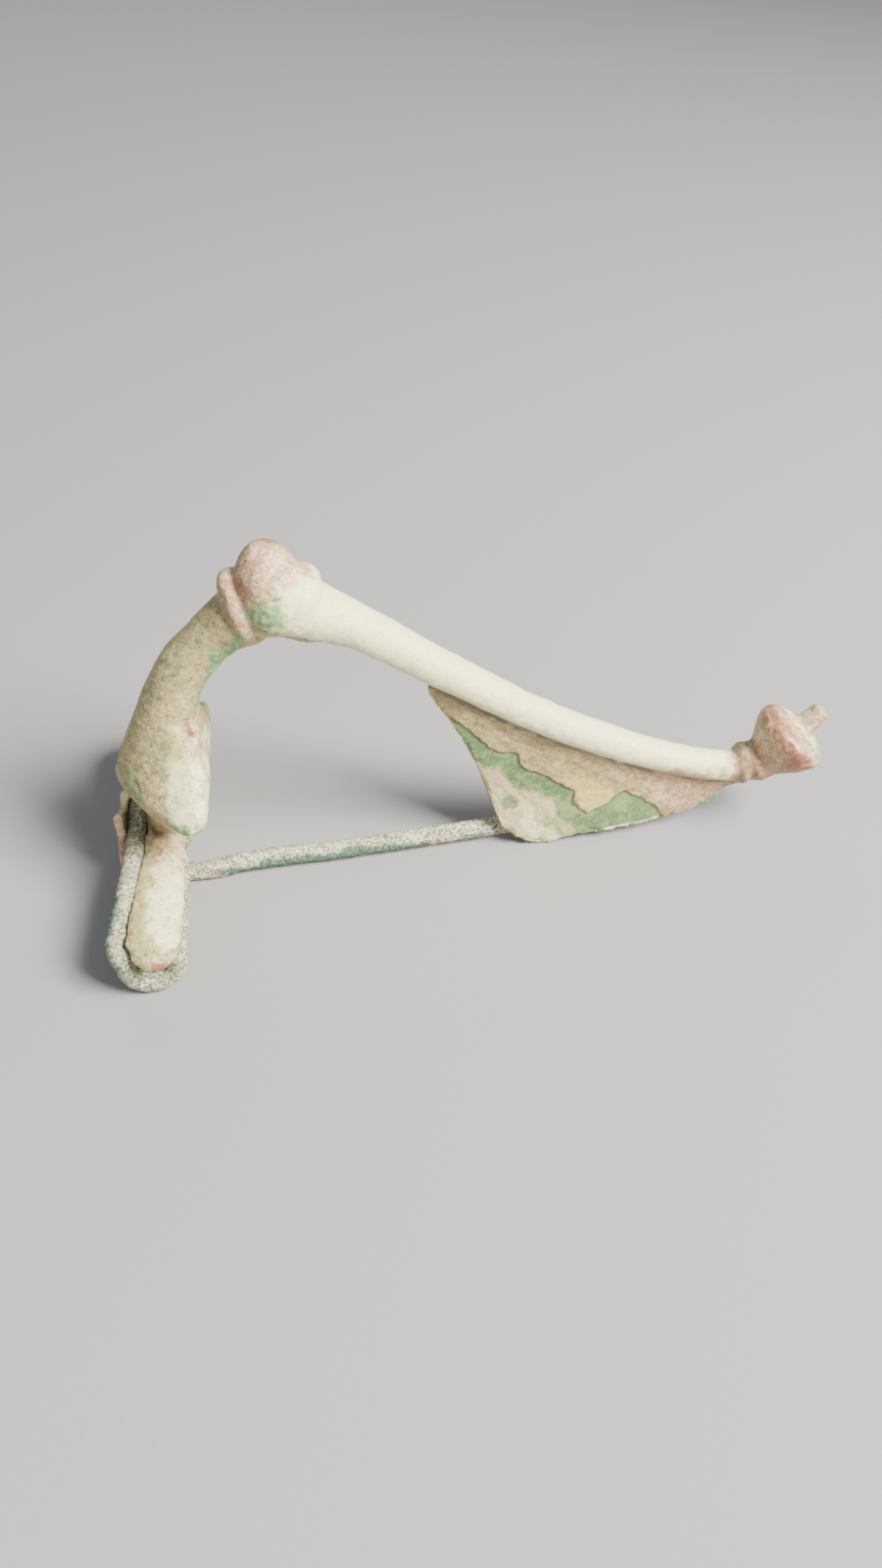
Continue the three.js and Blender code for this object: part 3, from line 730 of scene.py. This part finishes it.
class BROOCH_OT_casting(bpy.types.Operator):
    """Casts the bow with its head, spring cover, hook and catch plate as one piece"""

    bl_idname = "brooch.casting"
    bl_label = "Cast Bow"

    def execute(self, context):
        bodies = [
            loft([*head_rings(), *bow_rings()]), loft(cover_rings()), loft(hook_strip_rings()),
            loft(hook_leaf_rings()), loft(plate_rings()), loft(fold_rings()),
            *(loft(moulding_rings(*row)) for row in mouldings()),
        ]
        raw = mesh_object("bow_cast_raw", bodies)
        raw.data.transform(Matrix.Scale(MM, 4))
        fuse = raw.modifiers.new("Fuse", "REMESH")
        fuse.mode = "VOXEL"
        fuse.voxel_size = sizes().grain
        fuse.use_smooth_shade = True
        cast = settled(raw, "bow_cast")
        weather_casting(cast.data)
        put_in_frame(cast, casting_finish())
        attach(cast, ROOT)
        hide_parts("bow")
        return {"FINISHED"}


def weather_casting(mesh):
    """Smooths the cast, cuts its wear into it, and keeps the fields that its finish reads."""
    points = smoothed(mesh, read_points(mesh) / MM, CAST_ROUNDS)
    move_points(mesh, points)
    normal = read_points(mesh, "normal")
    x, y, z = points.T
    # How far each point lies below a smoothed copy of the cast: creases and hollows, which the finish
    # darkens as painted shade
    softer = smoothed(mesh, points, HOLLOW_ROUNDS)
    hollow = ((softer - points) * normal).sum(axis=1)
    wide = smoothed(mesh, softer, WIDE_ROUNDS)
    hollow_wide = ((wide - points) * normal).sum(axis=1)

    line = bow_line()
    way = np.gradient(line, axis=0)
    slopes, radii = np.arctan2(way[:, 2], way[:, 0]), bow_sizes(np.linspace(0, 1, len(line)))[1]
    height, slope, radius = (np.interp(x, line[:, 0], values) for values in (line[:, 2], slopes, radii))
    under_bow = height - z
    below_middle = under_bow * np.cos(slope) / radius

    near_side = (normal[:, 1] < -0.35) * ease(-0.15, -0.35, y + plate_lean(x, z))
    plate = near_side * ease(0.9, 1.5, under_bow) * ease(24, 27, x)
    bare = below_skin_edge(points) + 0.22 * noise(points, 0.9, 3) + 0.14 * noise(points, 0.4, 4)
    bare = np.where(plate > 0.3, bare, -3)
    lower_right = ease(39.5, 42.5, x) * ease(8, 6, z)
    left_over = np.maximum(1 - ease(0.7, 3.6, bare + 0.8 * rough(points, 2.2, 2, 5)), lower_right)
    over_arris = ease(0.82, 0.7, below_middle) * ease(-0.92, -0.7, normal[:, 2])
    # Painted light: the foot's surface above the arris, from past the crown to the knob, is made cream as
    # if brightly lit
    painted_light_band = over_arris * ease(12.5, 16, x - 0.3 * y) * ease(57.6, 56.2, x)

    verdigris = patch(points, VERDIGRIS_MARKS, 11)
    cut = grooves(points, CUT_LINES)
    beneath = below_middle + 0.1 * noise(points, 0.8, 47)
    # Painted shadow: a thin dark line just under the foot's lower edge on the near side, where its shade
    # falls on the plate
    arris_shadow_line = ease(0.68, 0.8, beneath) * ease(1.3, 1, beneath) * (normal[:, 1] < 0)
    arris_shadow_line *= ease(-0.5, 0.3, rough(points, 1.6, 2, 49)) * ease(17, 21, x) * ease(57, 56, x)
    large_pits = pits(points, 1.5, 0.3, 31)
    small_pits = pits(points, 0.75, 0.3, 37) * ease(-0.2, 0.5, noise(points, 4, 39) + verdigris)
    free_edge = (plate > 0.3) * ease(1.2, 0.2, z - catch_edge(x))
    # Each height or depth in millimetres, and where it goes
    relief = (
        (0.07, rough(points, 3.4, 2, 21)),
        (0.045, noise(points, 1.1, 25)),
        (0.03, noise(points, 0.55, 27)),
        (-mm(sizes().skin_thickness), ease(-0.1, 0.1, bare) * (bare > -2.9)),
        (-0.1, large_pits * (0.3 + verdigris)),
        (-0.09, small_pits * (0.6 + verdigris)),
        (-0.2, cut),
        (-0.14, ease(0.03, 0.09, -hollow) * ease(0.05, 0.7, noise(points, 0.8, 43))),
        (0.08, verdigris * noise(points, 0.6, 41)),
        (-0.12, free_edge * noise(points, 1.2, 45)),
    )
    moved = points + normal * sum(depth * where for depth, where in relief)[:, None]
    moved[:, 2] = np.maximum(moved[:, 2], 0)
    move_points(mesh, moved)
    keep_fields(
        mesh,
        # hollow: how deep each point lies in a crease, which the finish darkens as painted shade
        hollow=hollow + 0.35 * hollow_wide,
        bare=bare,
        left_over=left_over,
        # pit: real pits and cut lines, and the painted shadow line under the foot's arris
        pit=np.max([cut, arris_shadow_line, small_pits * 0.8, large_pits * verdigris], axis=0),
        verdigris=verdigris,
        copper=patch(moved, COPPER_MARKS, 13),
        # Pale bloom and painted highlight from the marks, with painted light on the foot's band
        cream=np.maximum(patch(moved, BLOOM_AND_HIGHLIGHT_MARKS, 17), 1.25 * painted_light_band),
        ochre=patch(moved, OCHRE_MARKS, 19),
        rosy=patch(moved, ROSY_MARKS, 23),
        plate=plate,
    )


# The wire


def coil_pitch():
    return mm(sizes().wire_diameter + sizes().coil_gap)


def spring_half():
    return coil_pitch() * (sizes().near_turns + 1.25)


def chord_distance():
    """From the spring's line to the chord's middle."""
    return mm(sizes().coil_diameter + sizes().wire_diameter) / 2 + CHORD_GAP


def chord_angle(y):
    """How far the chord lies round the spring from its top, at a place along it."""
    share = float(ease(0.1 * spring_half(), 1.1 * spring_half(), abs(y)))
    return math.radians(blend(CHORD_HOOK, CHORD_END, share))


def chord_at(y):
    """Where the chord runs at a place along the spring."""
    distance, angle, coil = chord_distance(), chord_angle(y), coil_radius()
    return SPRING_X - distance * math.sin(angle), y, coil + distance * math.cos(angle)


def coil_points(start, turns, way):
    """One half of the spring, from the middle outwards."""
    coil, winding = coil_radius(), coil_radius() - wire_radius()
    turned = np.arange(round(turns * TURN_POINTS) + 1) / TURN_POINTS
    angle = 2 * math.pi * turned
    x, z = SPRING_X - winding * np.sin(angle), coil - winding * np.cos(angle)
    return np.stack([x, start + way * coil_pitch() * turned, z], axis=1).tolist()


def chord_bend(way):
    """The bend from the last turn up to the chord."""
    coil, winding = coil_radius(), coil_radius() - wire_radius()
    end = spring_half()
    chord = chord_at(end)
    out = chord[0] - SPRING_X
    steps = (
        (-winding - 0.1, end + 0.15, 0.3), (-winding - 0.3, end + 0.1, 0.6), (out - 0.15, end - 0.5, 0.84),
        (out - 0.05, end - 1.6, 0.97), (out, end - 3, 1),
    )
    return [(SPRING_X + x, way * y, blend(coil, chord[2], rise)) for x, y, rise in steps]


def wire_points():
    """The wire from the pin's tip through both halves of the spring, with its radius at each point."""
    size = sizes()
    radius, clear = wire_radius(), mm(size.clearance)
    seat = radius * PIN_SEAT
    seat_x = CATCH_CORNER + 1.4
    seat_y = mm(size.plate_thickness) / 2 - mm(size.plate_bend) + seat + clear
    seat_z = mm(size.fold_thickness) + clear + seat
    near_start = -coil_pitch()
    far_start = spring_half() - coil_pitch() * (size.far_turns + 0.25)
    tip = [
        (42.4, seat_y, seat_z + 0.45, 0.2), (41.4, seat_y, seat_z + 0.35, 0.42),
        (seat_x, seat_y, seat_z, seat), (CATCH_CORNER - 2.2, seat_y - 0.05, seat_z, radius * 0.94),
        (27, seat_y - 0.65, radius + 0.35, radius),
    ]
    # Place along the brooch, and how far the pin lies beside the first turn and above the ground
    rest = ((17, 1.15, 0.28), (10, 0.8, 0.25), (7.4, 0.58, 0.16), (5, 0.12, 0.02), (3.2, 0, 0), (1.5, 0, 0))
    pin = [(x, near_start + beside, radius + above, radius) for x, beside, above in rest]
    shares = (-0.65, -0.48, -0.3, -0.12, 0.12, 0.3, 0.48, 0.65)
    chord = [chord_at(share * spring_half()) for share in shares]
    wire = [
        *coil_points(near_start, size.near_turns + 0.25, -1),
        *chord_bend(-1), *chord, *chord_bend(1)[::-1],
        *coil_points(far_start, size.far_turns + 0.25, 1)[::-1],
    ]
    return np.array([*tip, *pin, *((*point, radius) for point in wire)])


def wire_tree():
    """A round wire along a curve, with the curve's own radius."""
    tree = bpy.data.node_groups.new("Drawn Wire", "GeometryNodeTree")
    sockets = (
        ("Curve", "INPUT", "Geometry"), ("Step", "INPUT", "Float"), ("Sides", "INPUT", "Int"),
        ("Finish", "INPUT", "Material"), ("Wire", "OUTPUT", "Geometry"),
    )
    for name, side, kind in sockets:
        tree.interface.new_socket(name, in_out=side, socket_type="NodeSocket" + kind)
    given, result = tree.nodes.new("NodeGroupInput"), tree.nodes.new("NodeGroupOutput")
    kinds = (
        "ResampleCurve", "CurvePrimitiveCircle", "InputRadius",
        "CurveToMesh", "RealizeInstances", "SetMaterial",
    )
    even, profile, radius, sweep, realize, dress = (tree.nodes.new("GeometryNode" + kind) for kind in kinds)
    even.mode = "LENGTH"
    profile.inputs["Radius"].default_value = 1
    sweep.inputs["Fill Caps"].default_value = True
    links = (
        (given, "Curve", even, "Curve"), (given, "Step", even, "Length"),
        (given, "Sides", profile, "Resolution"), (given, "Finish", dress, "Material"),
        (even, "Curve", sweep, "Curve"), (profile, "Curve", sweep, "Profile Curve"),
        (radius, "Radius", sweep, "Scale"), (sweep, "Mesh", realize, "Geometry"),
        (realize, "Geometry", dress, "Geometry"), (dress, "Geometry", result, "Wire"),
    )
    for source, output, target, name in links:
        tree.links.new(source.outputs[output], target.inputs[name])
    return tree


def set_inputs(modifier, **values):
    """Sets a node modifier's inputs by their names."""
    for item in modifier.node_group.interface.items_tree:
        if item.in_out == "INPUT" and item.name in values:
            modifier[item.identifier] = values[item.name]


def path_object(name, points):
    """A curve object through points that carry a radius."""
    curve = bpy.data.curves.new(name, "CURVE")
    curve.dimensions = "3D"
    spline = curve.splines.new("POLY")
    spline.points.add(len(points) - 1)
    spline.points.foreach_set("co", np.column_stack([points[:, :3], np.ones(len(points))]).ravel())
    spline.points.foreach_set("radius", points[:, 3])
    return new_object(name, curve)


class BROOCH_OT_wire(bpy.types.Operator):
    """Winds the spring from one wire, with its chord and pin"""

    bl_idname = "brooch.wire"
    bl_label = "Wind Spring and Pin"

    def execute(self, context):
        points = smooth_line(wire_points(), 8)
        path = path_object("wire_path", points)
        sweep = path.modifiers.new("Drawn Wire", "NODES")
        sweep.node_group = wire_tree()
        finish = wire_finish()
        set_inputs(sweep, Step=WIRE_STEP, Sides=WIRE_SIDES, Finish=finish)
        wire = settled(path, "spring_wire")
        weather_wire(wire.data)
        put_in_frame(wire, finish)
        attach(wire, ROOT)
        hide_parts("spring_pin")
        return {"FINISHED"}


# Turquoise streaks on the wire: two ends, a radius and a strength
TURQUOISE_MARKS = (
    (-3.4, -8.6, 7, -3.6, -10.4, 6.9, 0.7, 0.45), (-3.15, -10.8, 6.95, -3.45, -13.6, 6.4, 0.55, 0.9),
    (-3.6, -14.2, 5.2, -2.6, -15.6, 4, 0.8, 0.4), (5.5, -2.7, 1.2, 10.5, -2.5, 1, 0.6, 0.75),
    (9.5, -2.4, 1.3, 19, -2, 1.1, 0.68, 1.25), (18, -1.8, 1.6, 26, -1.4, 1.3, 0.6, 1.1),
    (29.5, -1, 1.6, 33.5, -0.8, 1.5, 0.5, 0.5), (8, 0.4, 1.2, 22, 1, 1.2, 0.7, 0.6),
    (-3.6, 5, 6.8, -3.7, 11, 6.4, 0.9, 0.7), (-2, 6, 0.6, -2.4, 9, 0.8, 1, 0.5),
    (-3.2, -2, 2.6, -3.2, 1, 2.8, 0.9, 0.4),
)
# Where the wire's colour is darkest
DARK_MARKS = (
    (-2.2, 2, 6.6, -2.6, -5, 6.8, 1.3, 1), (-2.8, -5, 7.2, -3.1, -7.5, 7.1, 1, 0.6),
    (4.6, -3, 1.7, 7.8, -2.8, 1.2, 0.5, 0.7), (9, -2.7, 1.2, 14, -2.5, 0.9, 0.45, 0.6),
    (35, -0.6, 2, 36.8, -0.6, 1.6, 0.6, 0.8), (-3.4, -16, 3.4, -1, -16.5, 0.8, 1, 0.3),
)


def weather_wire(mesh):
    """Gives the wire its grainy crust, and keeps the fields that its finish reads."""
    mesh.polygons.foreach_set("use_smooth", [True] * len(mesh.polygons))
    points, normal = read_points(mesh), read_points(mesh, "normal")
    pit = pits(points, 0.8, 0.4, 61)
    lumps = 0.05 * noise(points, 0.55, 51) + 0.035 * noise(points, 0.3, 53) + 0.06 * noise(points, 2.2, 57)
    moved = points + normal * (0.03 + lumps - 0.14 * pit)[:, None]
    moved[:, 2] = np.maximum(moved[:, 2], 0)
    move_points(mesh, moved)
    keep_fields(
        mesh,
        turquoise=patch(points, TURQUOISE_MARKS, 71),
        dark=patch(points, DARK_MARKS, 73),
        pit=pit,
        # Pinkish crust on the down-facing side of the pin and wire, laid on lighter as painted light
        # against the shade there
        underside=ease(0.5, -0.45, normal[:, 2]) * ease(0, 4, points[:, 0]),
        pin=ease(1, 5, points[:, 0]),
    )


# Finishes


class Value:
    """A shader socket that Python's operators work on."""

    def __init__(self, finish, socket):
        self.finish, self.socket = finish, socket

    def worked(self, operation, first, second):
        return self.finish.node("ShaderNodeMath", {"operation": operation}, {0: first, 1: second})

    def __add__(self, other):
        return self.worked("ADD", self, other)

    __radd__ = __add__

    def __sub__(self, other):
        return self.worked("SUBTRACT", self, other)

    def __rsub__(self, other):
        return self.worked("SUBTRACT", other, self)

    def __mul__(self, other):
        return self.worked("MULTIPLY", self, other)

    __rmul__ = __mul__


class Finish:
    """A material whose nodes are added by Python expressions."""

    def __init__(self, name):
        self.material = bpy.data.materials.new(name)
        self.material.use_nodes = True
        self.tree = self.material.node_tree
        self.tree.nodes.clear()
        place = self.node("ShaderNodeTexCoord", output="Object")
        self.place = self.node("ShaderNodeMapping", {}, {"Vector": place, "Scale": (1 / MM,) * 3})

    def node(self, kind, settings=None, sockets=None, output=0):
        """Adds a node, and gives the value of one of its outputs."""
        made = self.tree.nodes.new(kind)
        for name, value in (settings or {}).items():
            setattr(made, name, value)
        for name, value in (sockets or {}).items():
            if isinstance(value, Value):
                self.tree.links.new(value.socket, made.inputs[name])
            else:
                made.inputs[name].default_value = value
        return None if output is None else Value(self, made.outputs[output])

    def field(self, name):
        return self.node("ShaderNodeAttribute", {"attribute_name": name}, output="Fac")

    def noise(self, per_mm, detail=3, roughness=0.6, shift=0, along=1, slope=0):
        """Noise with bumps per millimetre, drawn out along a slope where along is more than 1."""
        turn = (0, math.radians(slope), 0)
        place = self.node(
            "ShaderNodeMapping", {"vector_type": "TEXTURE"},
            {"Vector": self.place, "Location": (shift,) * 3, "Rotation": turn, "Scale": (along, 1, 1)},
        )
        sockets = {"Vector": place, "Scale": per_mm, "Detail": detail, "Roughness": roughness}
        return self.node("ShaderNodeTexNoise", {}, sockets)

    def step(self, value, low, high):
        """0 below low, 1 above high, and a smooth step between them."""
        sockets = {"Value": value, "From Min": low, "From Max": high}
        return self.node("ShaderNodeMapRange", {"interpolation_type": "SMOOTHSTEP"}, sockets)

    def mix(self, first, second, factor):
        first, second = (each if isinstance(each, Value) else (*each, 1) for each in (first, second))
        return self.node("ShaderNodeMix", {"data_type": "RGBA"}, {0: factor, 6: first, 7: second}, 2)

    def layers(self, coat, *rows):
        """Colours over a coat. A row is a colour, the value it follows, its low and high, and the most."""
        for tint, value, low, high, most in rows:
            coat = self.mix(coat, tint, self.step(value, low, high) * most)
        return coat

    def surface(self, height, depth, **sockets):
        """The finished material, with bumps of a depth in millimetres."""
        bump = self.node("ShaderNodeBump", {}, {"Height": height, "Distance": depth * MM, "Strength": 1})
        named = {name.replace("_", " "): value for name, value in sockets.items()}
        shader = self.node("ShaderNodeBsdfPrincipled", {}, {**named, "Normal": bump})
        self.node("ShaderNodeOutputMaterial", {}, {"Surface": shader}, output=None)
        return self.material


def casting_finish():
    """Thin olive and beige patina on bronze, green where it flaked or stayed damp, copper where it wore."""
    hue = colours()
    finish = Finish("casting patina")
    step, mix, noise_at, field = finish.step, finish.mix, finish.noise, finish.field
    hollow, pit, plate, bare, left_over = map(field, ("hollow", "pit", "plate", "bare", "left_over"))
    verdigris, copper, cream, ochre, rosy = map(field, ("verdigris", "copper", "cream", "ochre", "rosy"))
    broad, middle, fine = noise_at(0.24), noise_at(0.85, shift=7), noise_at(2.3, 4, 0.65, 13)
    dust, streaks = noise_at(4.6, 3, 0.75, 19), noise_at(1.5, 3, 0.65, 23, 5, 32)
    mid_sway, fine_sway = middle - 0.5, fine - 0.5

    flushed = mix((0.37, 0.205, 0.12), (0.7, 0.47, 0.33), step(fine + mid_sway * 0.8, 0.4, 0.66))
    worn = step(copper + mid_sway * 1.1 + fine_sway * 0.9, 0.3, 0.8)
    skin = finish.layers(
        mix(hue.olive, hue.beige, step(broad + plate * 0.3 + mid_sway * 0.4, 0.42, 0.66)),
        (hue.pink, middle + (streaks - 0.5) * 0.5, 0.5, 0.72, 0.42),
        ((0.62, 0.54, 0.3), fine, 0.46, 0.62, 0.6),
        ((0.14, 0.115, 0.045), noise_at(1.3, 4, 0.75, 31), 0.48, 0.66, 0.7),
        ((0.22, 0.13, 0.06), streaks, 0.46, 0.62, plate * 0.65),
        ((0.66, 0.52, 0.16), ochre + mid_sway * 0.8, 0.25, 0.75, 0.75),
        # Pale bloom, with painted highlight on the lit upper faces and painted light on the foot's band
        (hue.cream, cream + mid_sway * 1.1 + fine_sway * 1.1, 0.15, 1.05, 0.88),
        # Pinkish flush; on the hook's leaf it is partly painted light
        (flushed, rosy + mid_sway * 0.9, 0.1, 0.9, 0.85),
        ((0.36, 0.205, 0.115), copper + mid_sway * 0.6, 0.08, 0.6, 0.85),
        (hue.copper, noise_at(1.8, 3, 0.7, 37, 3), 0.34, 0.56, worn * 0.85),
        ((0.74, 0.66, 0.4), dust, 0.52, 0.68, 0.5 - worn * 0.25),
        ((0.09, 0.07, 0.035), noise_at(2.9, 3, 0.8, 41), 0.55, 0.68, 0.75 - step(cream, 0.5, 1.2) * 0.45),
    )
    green = mix(hue.verdigris, (0.32, 0.43, 0.19), step(fine, 0.42, 0.62))
    green = finish.layers(green, ((0.06, 0.13, 0.07), noise_at(1.7, 3, 0.75, 43), 0.54, 0.68, 0.75))
    damp = step(verdigris + fine_sway * 1.5 + mid_sway * 1.1, 0.22, 0.78)
    skin = mix(skin, green, damp * 0.9)

    # The ground under the flaked skin, green where some is left over and faded elsewhere
    faded = finish.layers(
        mix((0.6, 0.49, 0.28), (0.3, 0.32, 0.14), step(noise_at(0.6, 3, 0.65, 53, 3, 55), 0.44, 0.6)),
        ((0.54, 0.31, 0.19), noise_at(0.8, 3, 0.6, 57, 3, 55), 0.52, 0.66, 0.8),
        ((0.11, 0.2, 0.085), verdigris + fine_sway * 1.2, 0.35, 0.7, 0.85),
        ((0.66, 0.43, 0.3), rosy + fine_sway, 0.2, 0.9, 0.7),
    )
    kept = step(left_over + (noise_at(1.1, 4, 0.7, 61, 3.5, 48) - 0.5) * 1.9, 0.2, 0.78)
    mossy = mix((0.1, 0.18, 0.07), (0.2, 0.275, 0.11), step(middle + fine_sway * 0.5, 0.42, 0.62))
    ground = finish.layers(
        mix(faded, mossy, kept),
        # Pale bloom on the flaked ground, with a painted highlight along the plate's lower edge
        (hue.cream, cream + fine_sway * 0.8, 0.3, 0.7, 0.7),
        ((0.62, 0.6, 0.42), dust, 0.54, 0.7, 0.35),
        ((0.09, 0.1, 0.045), noise_at(2.8, 3, 0.8, 67), 0.55, 0.68, 0.6),
    )
    torn = step(bare + fine_sway * 0.25, -0.03, 0.03)
    coat = finish.layers(
        mix(skin, ground, torn),
        # Painted shadow: a dark line just inside the flaked area, where the skin's edge shades it
        (hue.umber, bare, -0.1, 0.02, (1 - step(bare, 0.05, 0.26)) * 0.8),
        # Umber in real pits and cuts, and as painted shadow along the foot's arris
        (hue.umber, pit, 0.35, 0.85, 0.6),
        # Painted shade: umber darkening in creases and hollows, where shade falls
        (hue.umber, hollow + fine_sway * 0.12, 0.04, 0.2, 0.7),
    )
    return finish.surface(
        fine * 0.5 + dust * 0.2 + middle * 0.6, 0.075,
        Base_Color=coat,
        Roughness=0.47 + fine_sway * 0.3 + damp * 0.3 + torn * 0.3 + plate * 0.1 - worn * 0.08,
        Metallic=worn * (1 - damp) * 0.3,
    )


def wire_finish():
    """A grainy grey-green crust with dark pits, turquoise patches and a pinkish underside, painted lighter
    to offset the shade beneath.
    """
    hue = colours()
    finish = Finish("wire crust")
    step, mix, noise_at, field = finish.step, finish.mix, finish.noise, finish.field
    turquoise, dark, pit, underside, pin = map(field, ("turquoise", "dark", "pit", "underside", "pin"))
    fine, dust, middle = noise_at(2.4, 4, 0.7), noise_at(4.8, 3, 0.75, 11), noise_at(0.9, 3, 0.6, 17)
    mid_sway, fine_sway = middle - 0.5, fine - 0.5
    sea = mix(hue.turquoise, (0.1, 0.245, 0.15), step(noise_at(1.8, 3, 0.7, 23), 0.44, 0.62))
    specks = step(noise_at(3.6, 3, 0.75, 29), 0.49, 0.6)
    crust = finish.layers(
        mix(hue.wire_grey, (0.66, 0.64, 0.46), step(fine + pin * 0.06, 0.44, 0.6)),
        ((0.19, 0.22, 0.11), middle + fine_sway * 0.8, 0.5, 0.66, 0.65),
        # Pinkish underside, partly the crust's colour and partly painted light against the shade beneath
        ((0.66, 0.42, 0.3), underside * 0.55 + middle * 0.7 + fine_sway * 0.5, 0.45, 0.8, 0.8),
        ((0.78, 0.75, 0.63), dust, 0.54, 0.68, 0.55),
        ((0.15, 0.135, 0.08), dark + fine_sway * 1.4 + (dust - 0.5) * 0.8, 0.3, 0.8, 0.6),
        (sea, turquoise + fine_sway * 2 + mid_sway * 0.9, 0.15, 0.7, 0.88),
    )
    crust = finish.layers(mix(crust, (0.045, 0.05, 0.03), specks * 0.8), (hue.umber, pit, 0.4, 0.9, 0.5))
    return finish.surface(
        fine * 0.6 + dust * 0.4 - specks * 0.4, 0.12,
        Base_Color=crust, Roughness=0.72 + fine_sway * 0.2, Metallic=0,
    )


def floor_finish():
    """Matt pale board."""
    finish = Finish("pale board")
    grain = finish.noise(1.5, 4, 0.6)
    dark, pale = ([channel * share for channel in colours().floor] for share in (0.97, 1.03))
    return finish.surface(grain, 0.02, Base_Color=finish.mix(dark, pale, grain), Roughness=0.9)


# The stage


# The camera's place in millimetres, its azimuth, elevation and roll in degrees, and its lens
CAMERA_PLACE = (-15.8, -80.6, 84.57)
CAMERA_TURN = (-8.77, 43.03, -1.75)
CAMERA_LENS = 26.19
# Each light's name, place and size in metres, power in watts and colour
LIGHTS = (
    ("key", (0.29, -0.2, 0.39), 0.22, 13.5, (1, 0.955, 0.87)),
    ("fill", (-0.35, -0.4, 0.35), 0.5, 0.9, (0.97, 0.98, 1)),
    ("back", (-0.1, 0.5, 0.35), 0.4, 1.2, (1, 1, 1)),
)
LIGHTS_FACE = Vector((0, 0, 0.015))
SKY_COLOUR = (0.9, 0.93, 1, 1)
SKY_STRENGTH = 0.2
FLOOR_SIZE = 6


def camera_matrix():
    """The camera's place, and its turn from its azimuth, elevation and roll."""
    azimuth, elevation, roll = (math.radians(angle) for angle in CAMERA_TURN)
    level = Matrix.Rotation(azimuth, 4, "Z") @ Matrix.Rotation(math.pi / 2 - elevation, 4, "X")
    return Matrix.Translation(Vector(CAMERA_PLACE) * MM) @ level @ Matrix.Rotation(-roll, 4, "Z")


def add_light(name, place, size, power, tint):
    """A soft square light that faces the brooch."""
    data = bpy.data.lights.new(name, "AREA")
    data.size = size
    data.energy = power
    data.color = tint
    made = new_object(name, data)
    made.location = place
    made.rotation_euler = (LIGHTS_FACE - made.location).to_track_quat("-Z", "Y").to_euler()


class BROOCH_OT_stage(bpy.types.Operator):
    """Sets the camera, the lights and the pale floor"""

    bl_idname = "brooch.stage"
    bl_label = "Set the Stage"

    def execute(self, context):
        data = bpy.data.cameras.new("camera")
        data.lens = CAMERA_LENS
        data.clip_start = MM
        camera = new_object("camera", data)
        camera.matrix_world = camera_matrix()
        context.scene.camera = camera
        for light in LIGHTS:
            add_light(*light)

        world = bpy.data.worlds.new("studio")
        world.use_nodes = True
        shade = world.node_tree.nodes["Background"]
        shade.inputs["Color"].default_value = SKY_COLOUR
        shade.inputs["Strength"].default_value = SKY_STRENGTH
        context.scene.world = world

        bpy.ops.mesh.primitive_grid_add(x_subdivisions=8, y_subdivisions=8, size=FLOOR_SIZE)
        floor = context.object
        floor.name = "floor"
        floor.data.materials.append(floor_finish())
        return {"FINISHED"}


class BROOCH_PT_sidebar(bpy.types.Panel):
    """Lists the brooch's pieces, sizes and colours"""

    bl_label = "Fibula Brooch"
    bl_idname = "BROOCH_PT_sidebar"
    bl_space_type = "VIEW_3D"
    bl_region_type = "UI"
    bl_category = "Brooch"

    def draw(self, context):
        layout = self.layout
        for operator in OPERATORS:
            layout.operator(operator.bl_idname)
        for group in (context.scene.brooch_sizes, context.scene.brooch_colours):
            box = layout.box()
            for name in group.__annotations__:
                box.prop(group, name)


OPERATORS = (BROOCH_OT_stage, BROOCH_OT_casting, BROOCH_OT_wire)
CLASSES = (BroochSizes, BroochColours, *OPERATORS, BROOCH_PT_sidebar)


def register():
    for each in CLASSES:
        bpy.utils.register_class(each)
    bpy.types.Scene.brooch_sizes = PointerProperty(type=BroochSizes)
    bpy.types.Scene.brooch_colours = PointerProperty(type=BroochColours)


def unregister():
    del bpy.types.Scene.brooch_colours
    del bpy.types.Scene.brooch_sizes
    for each in reversed(CLASSES):
        bpy.utils.unregister_class(each)


def main():
    register()
    bpy.ops.brooch.stage()
    bpy.ops.brooch.casting()
    bpy.ops.brooch.wire()


if __name__ == "__main__":
    main()
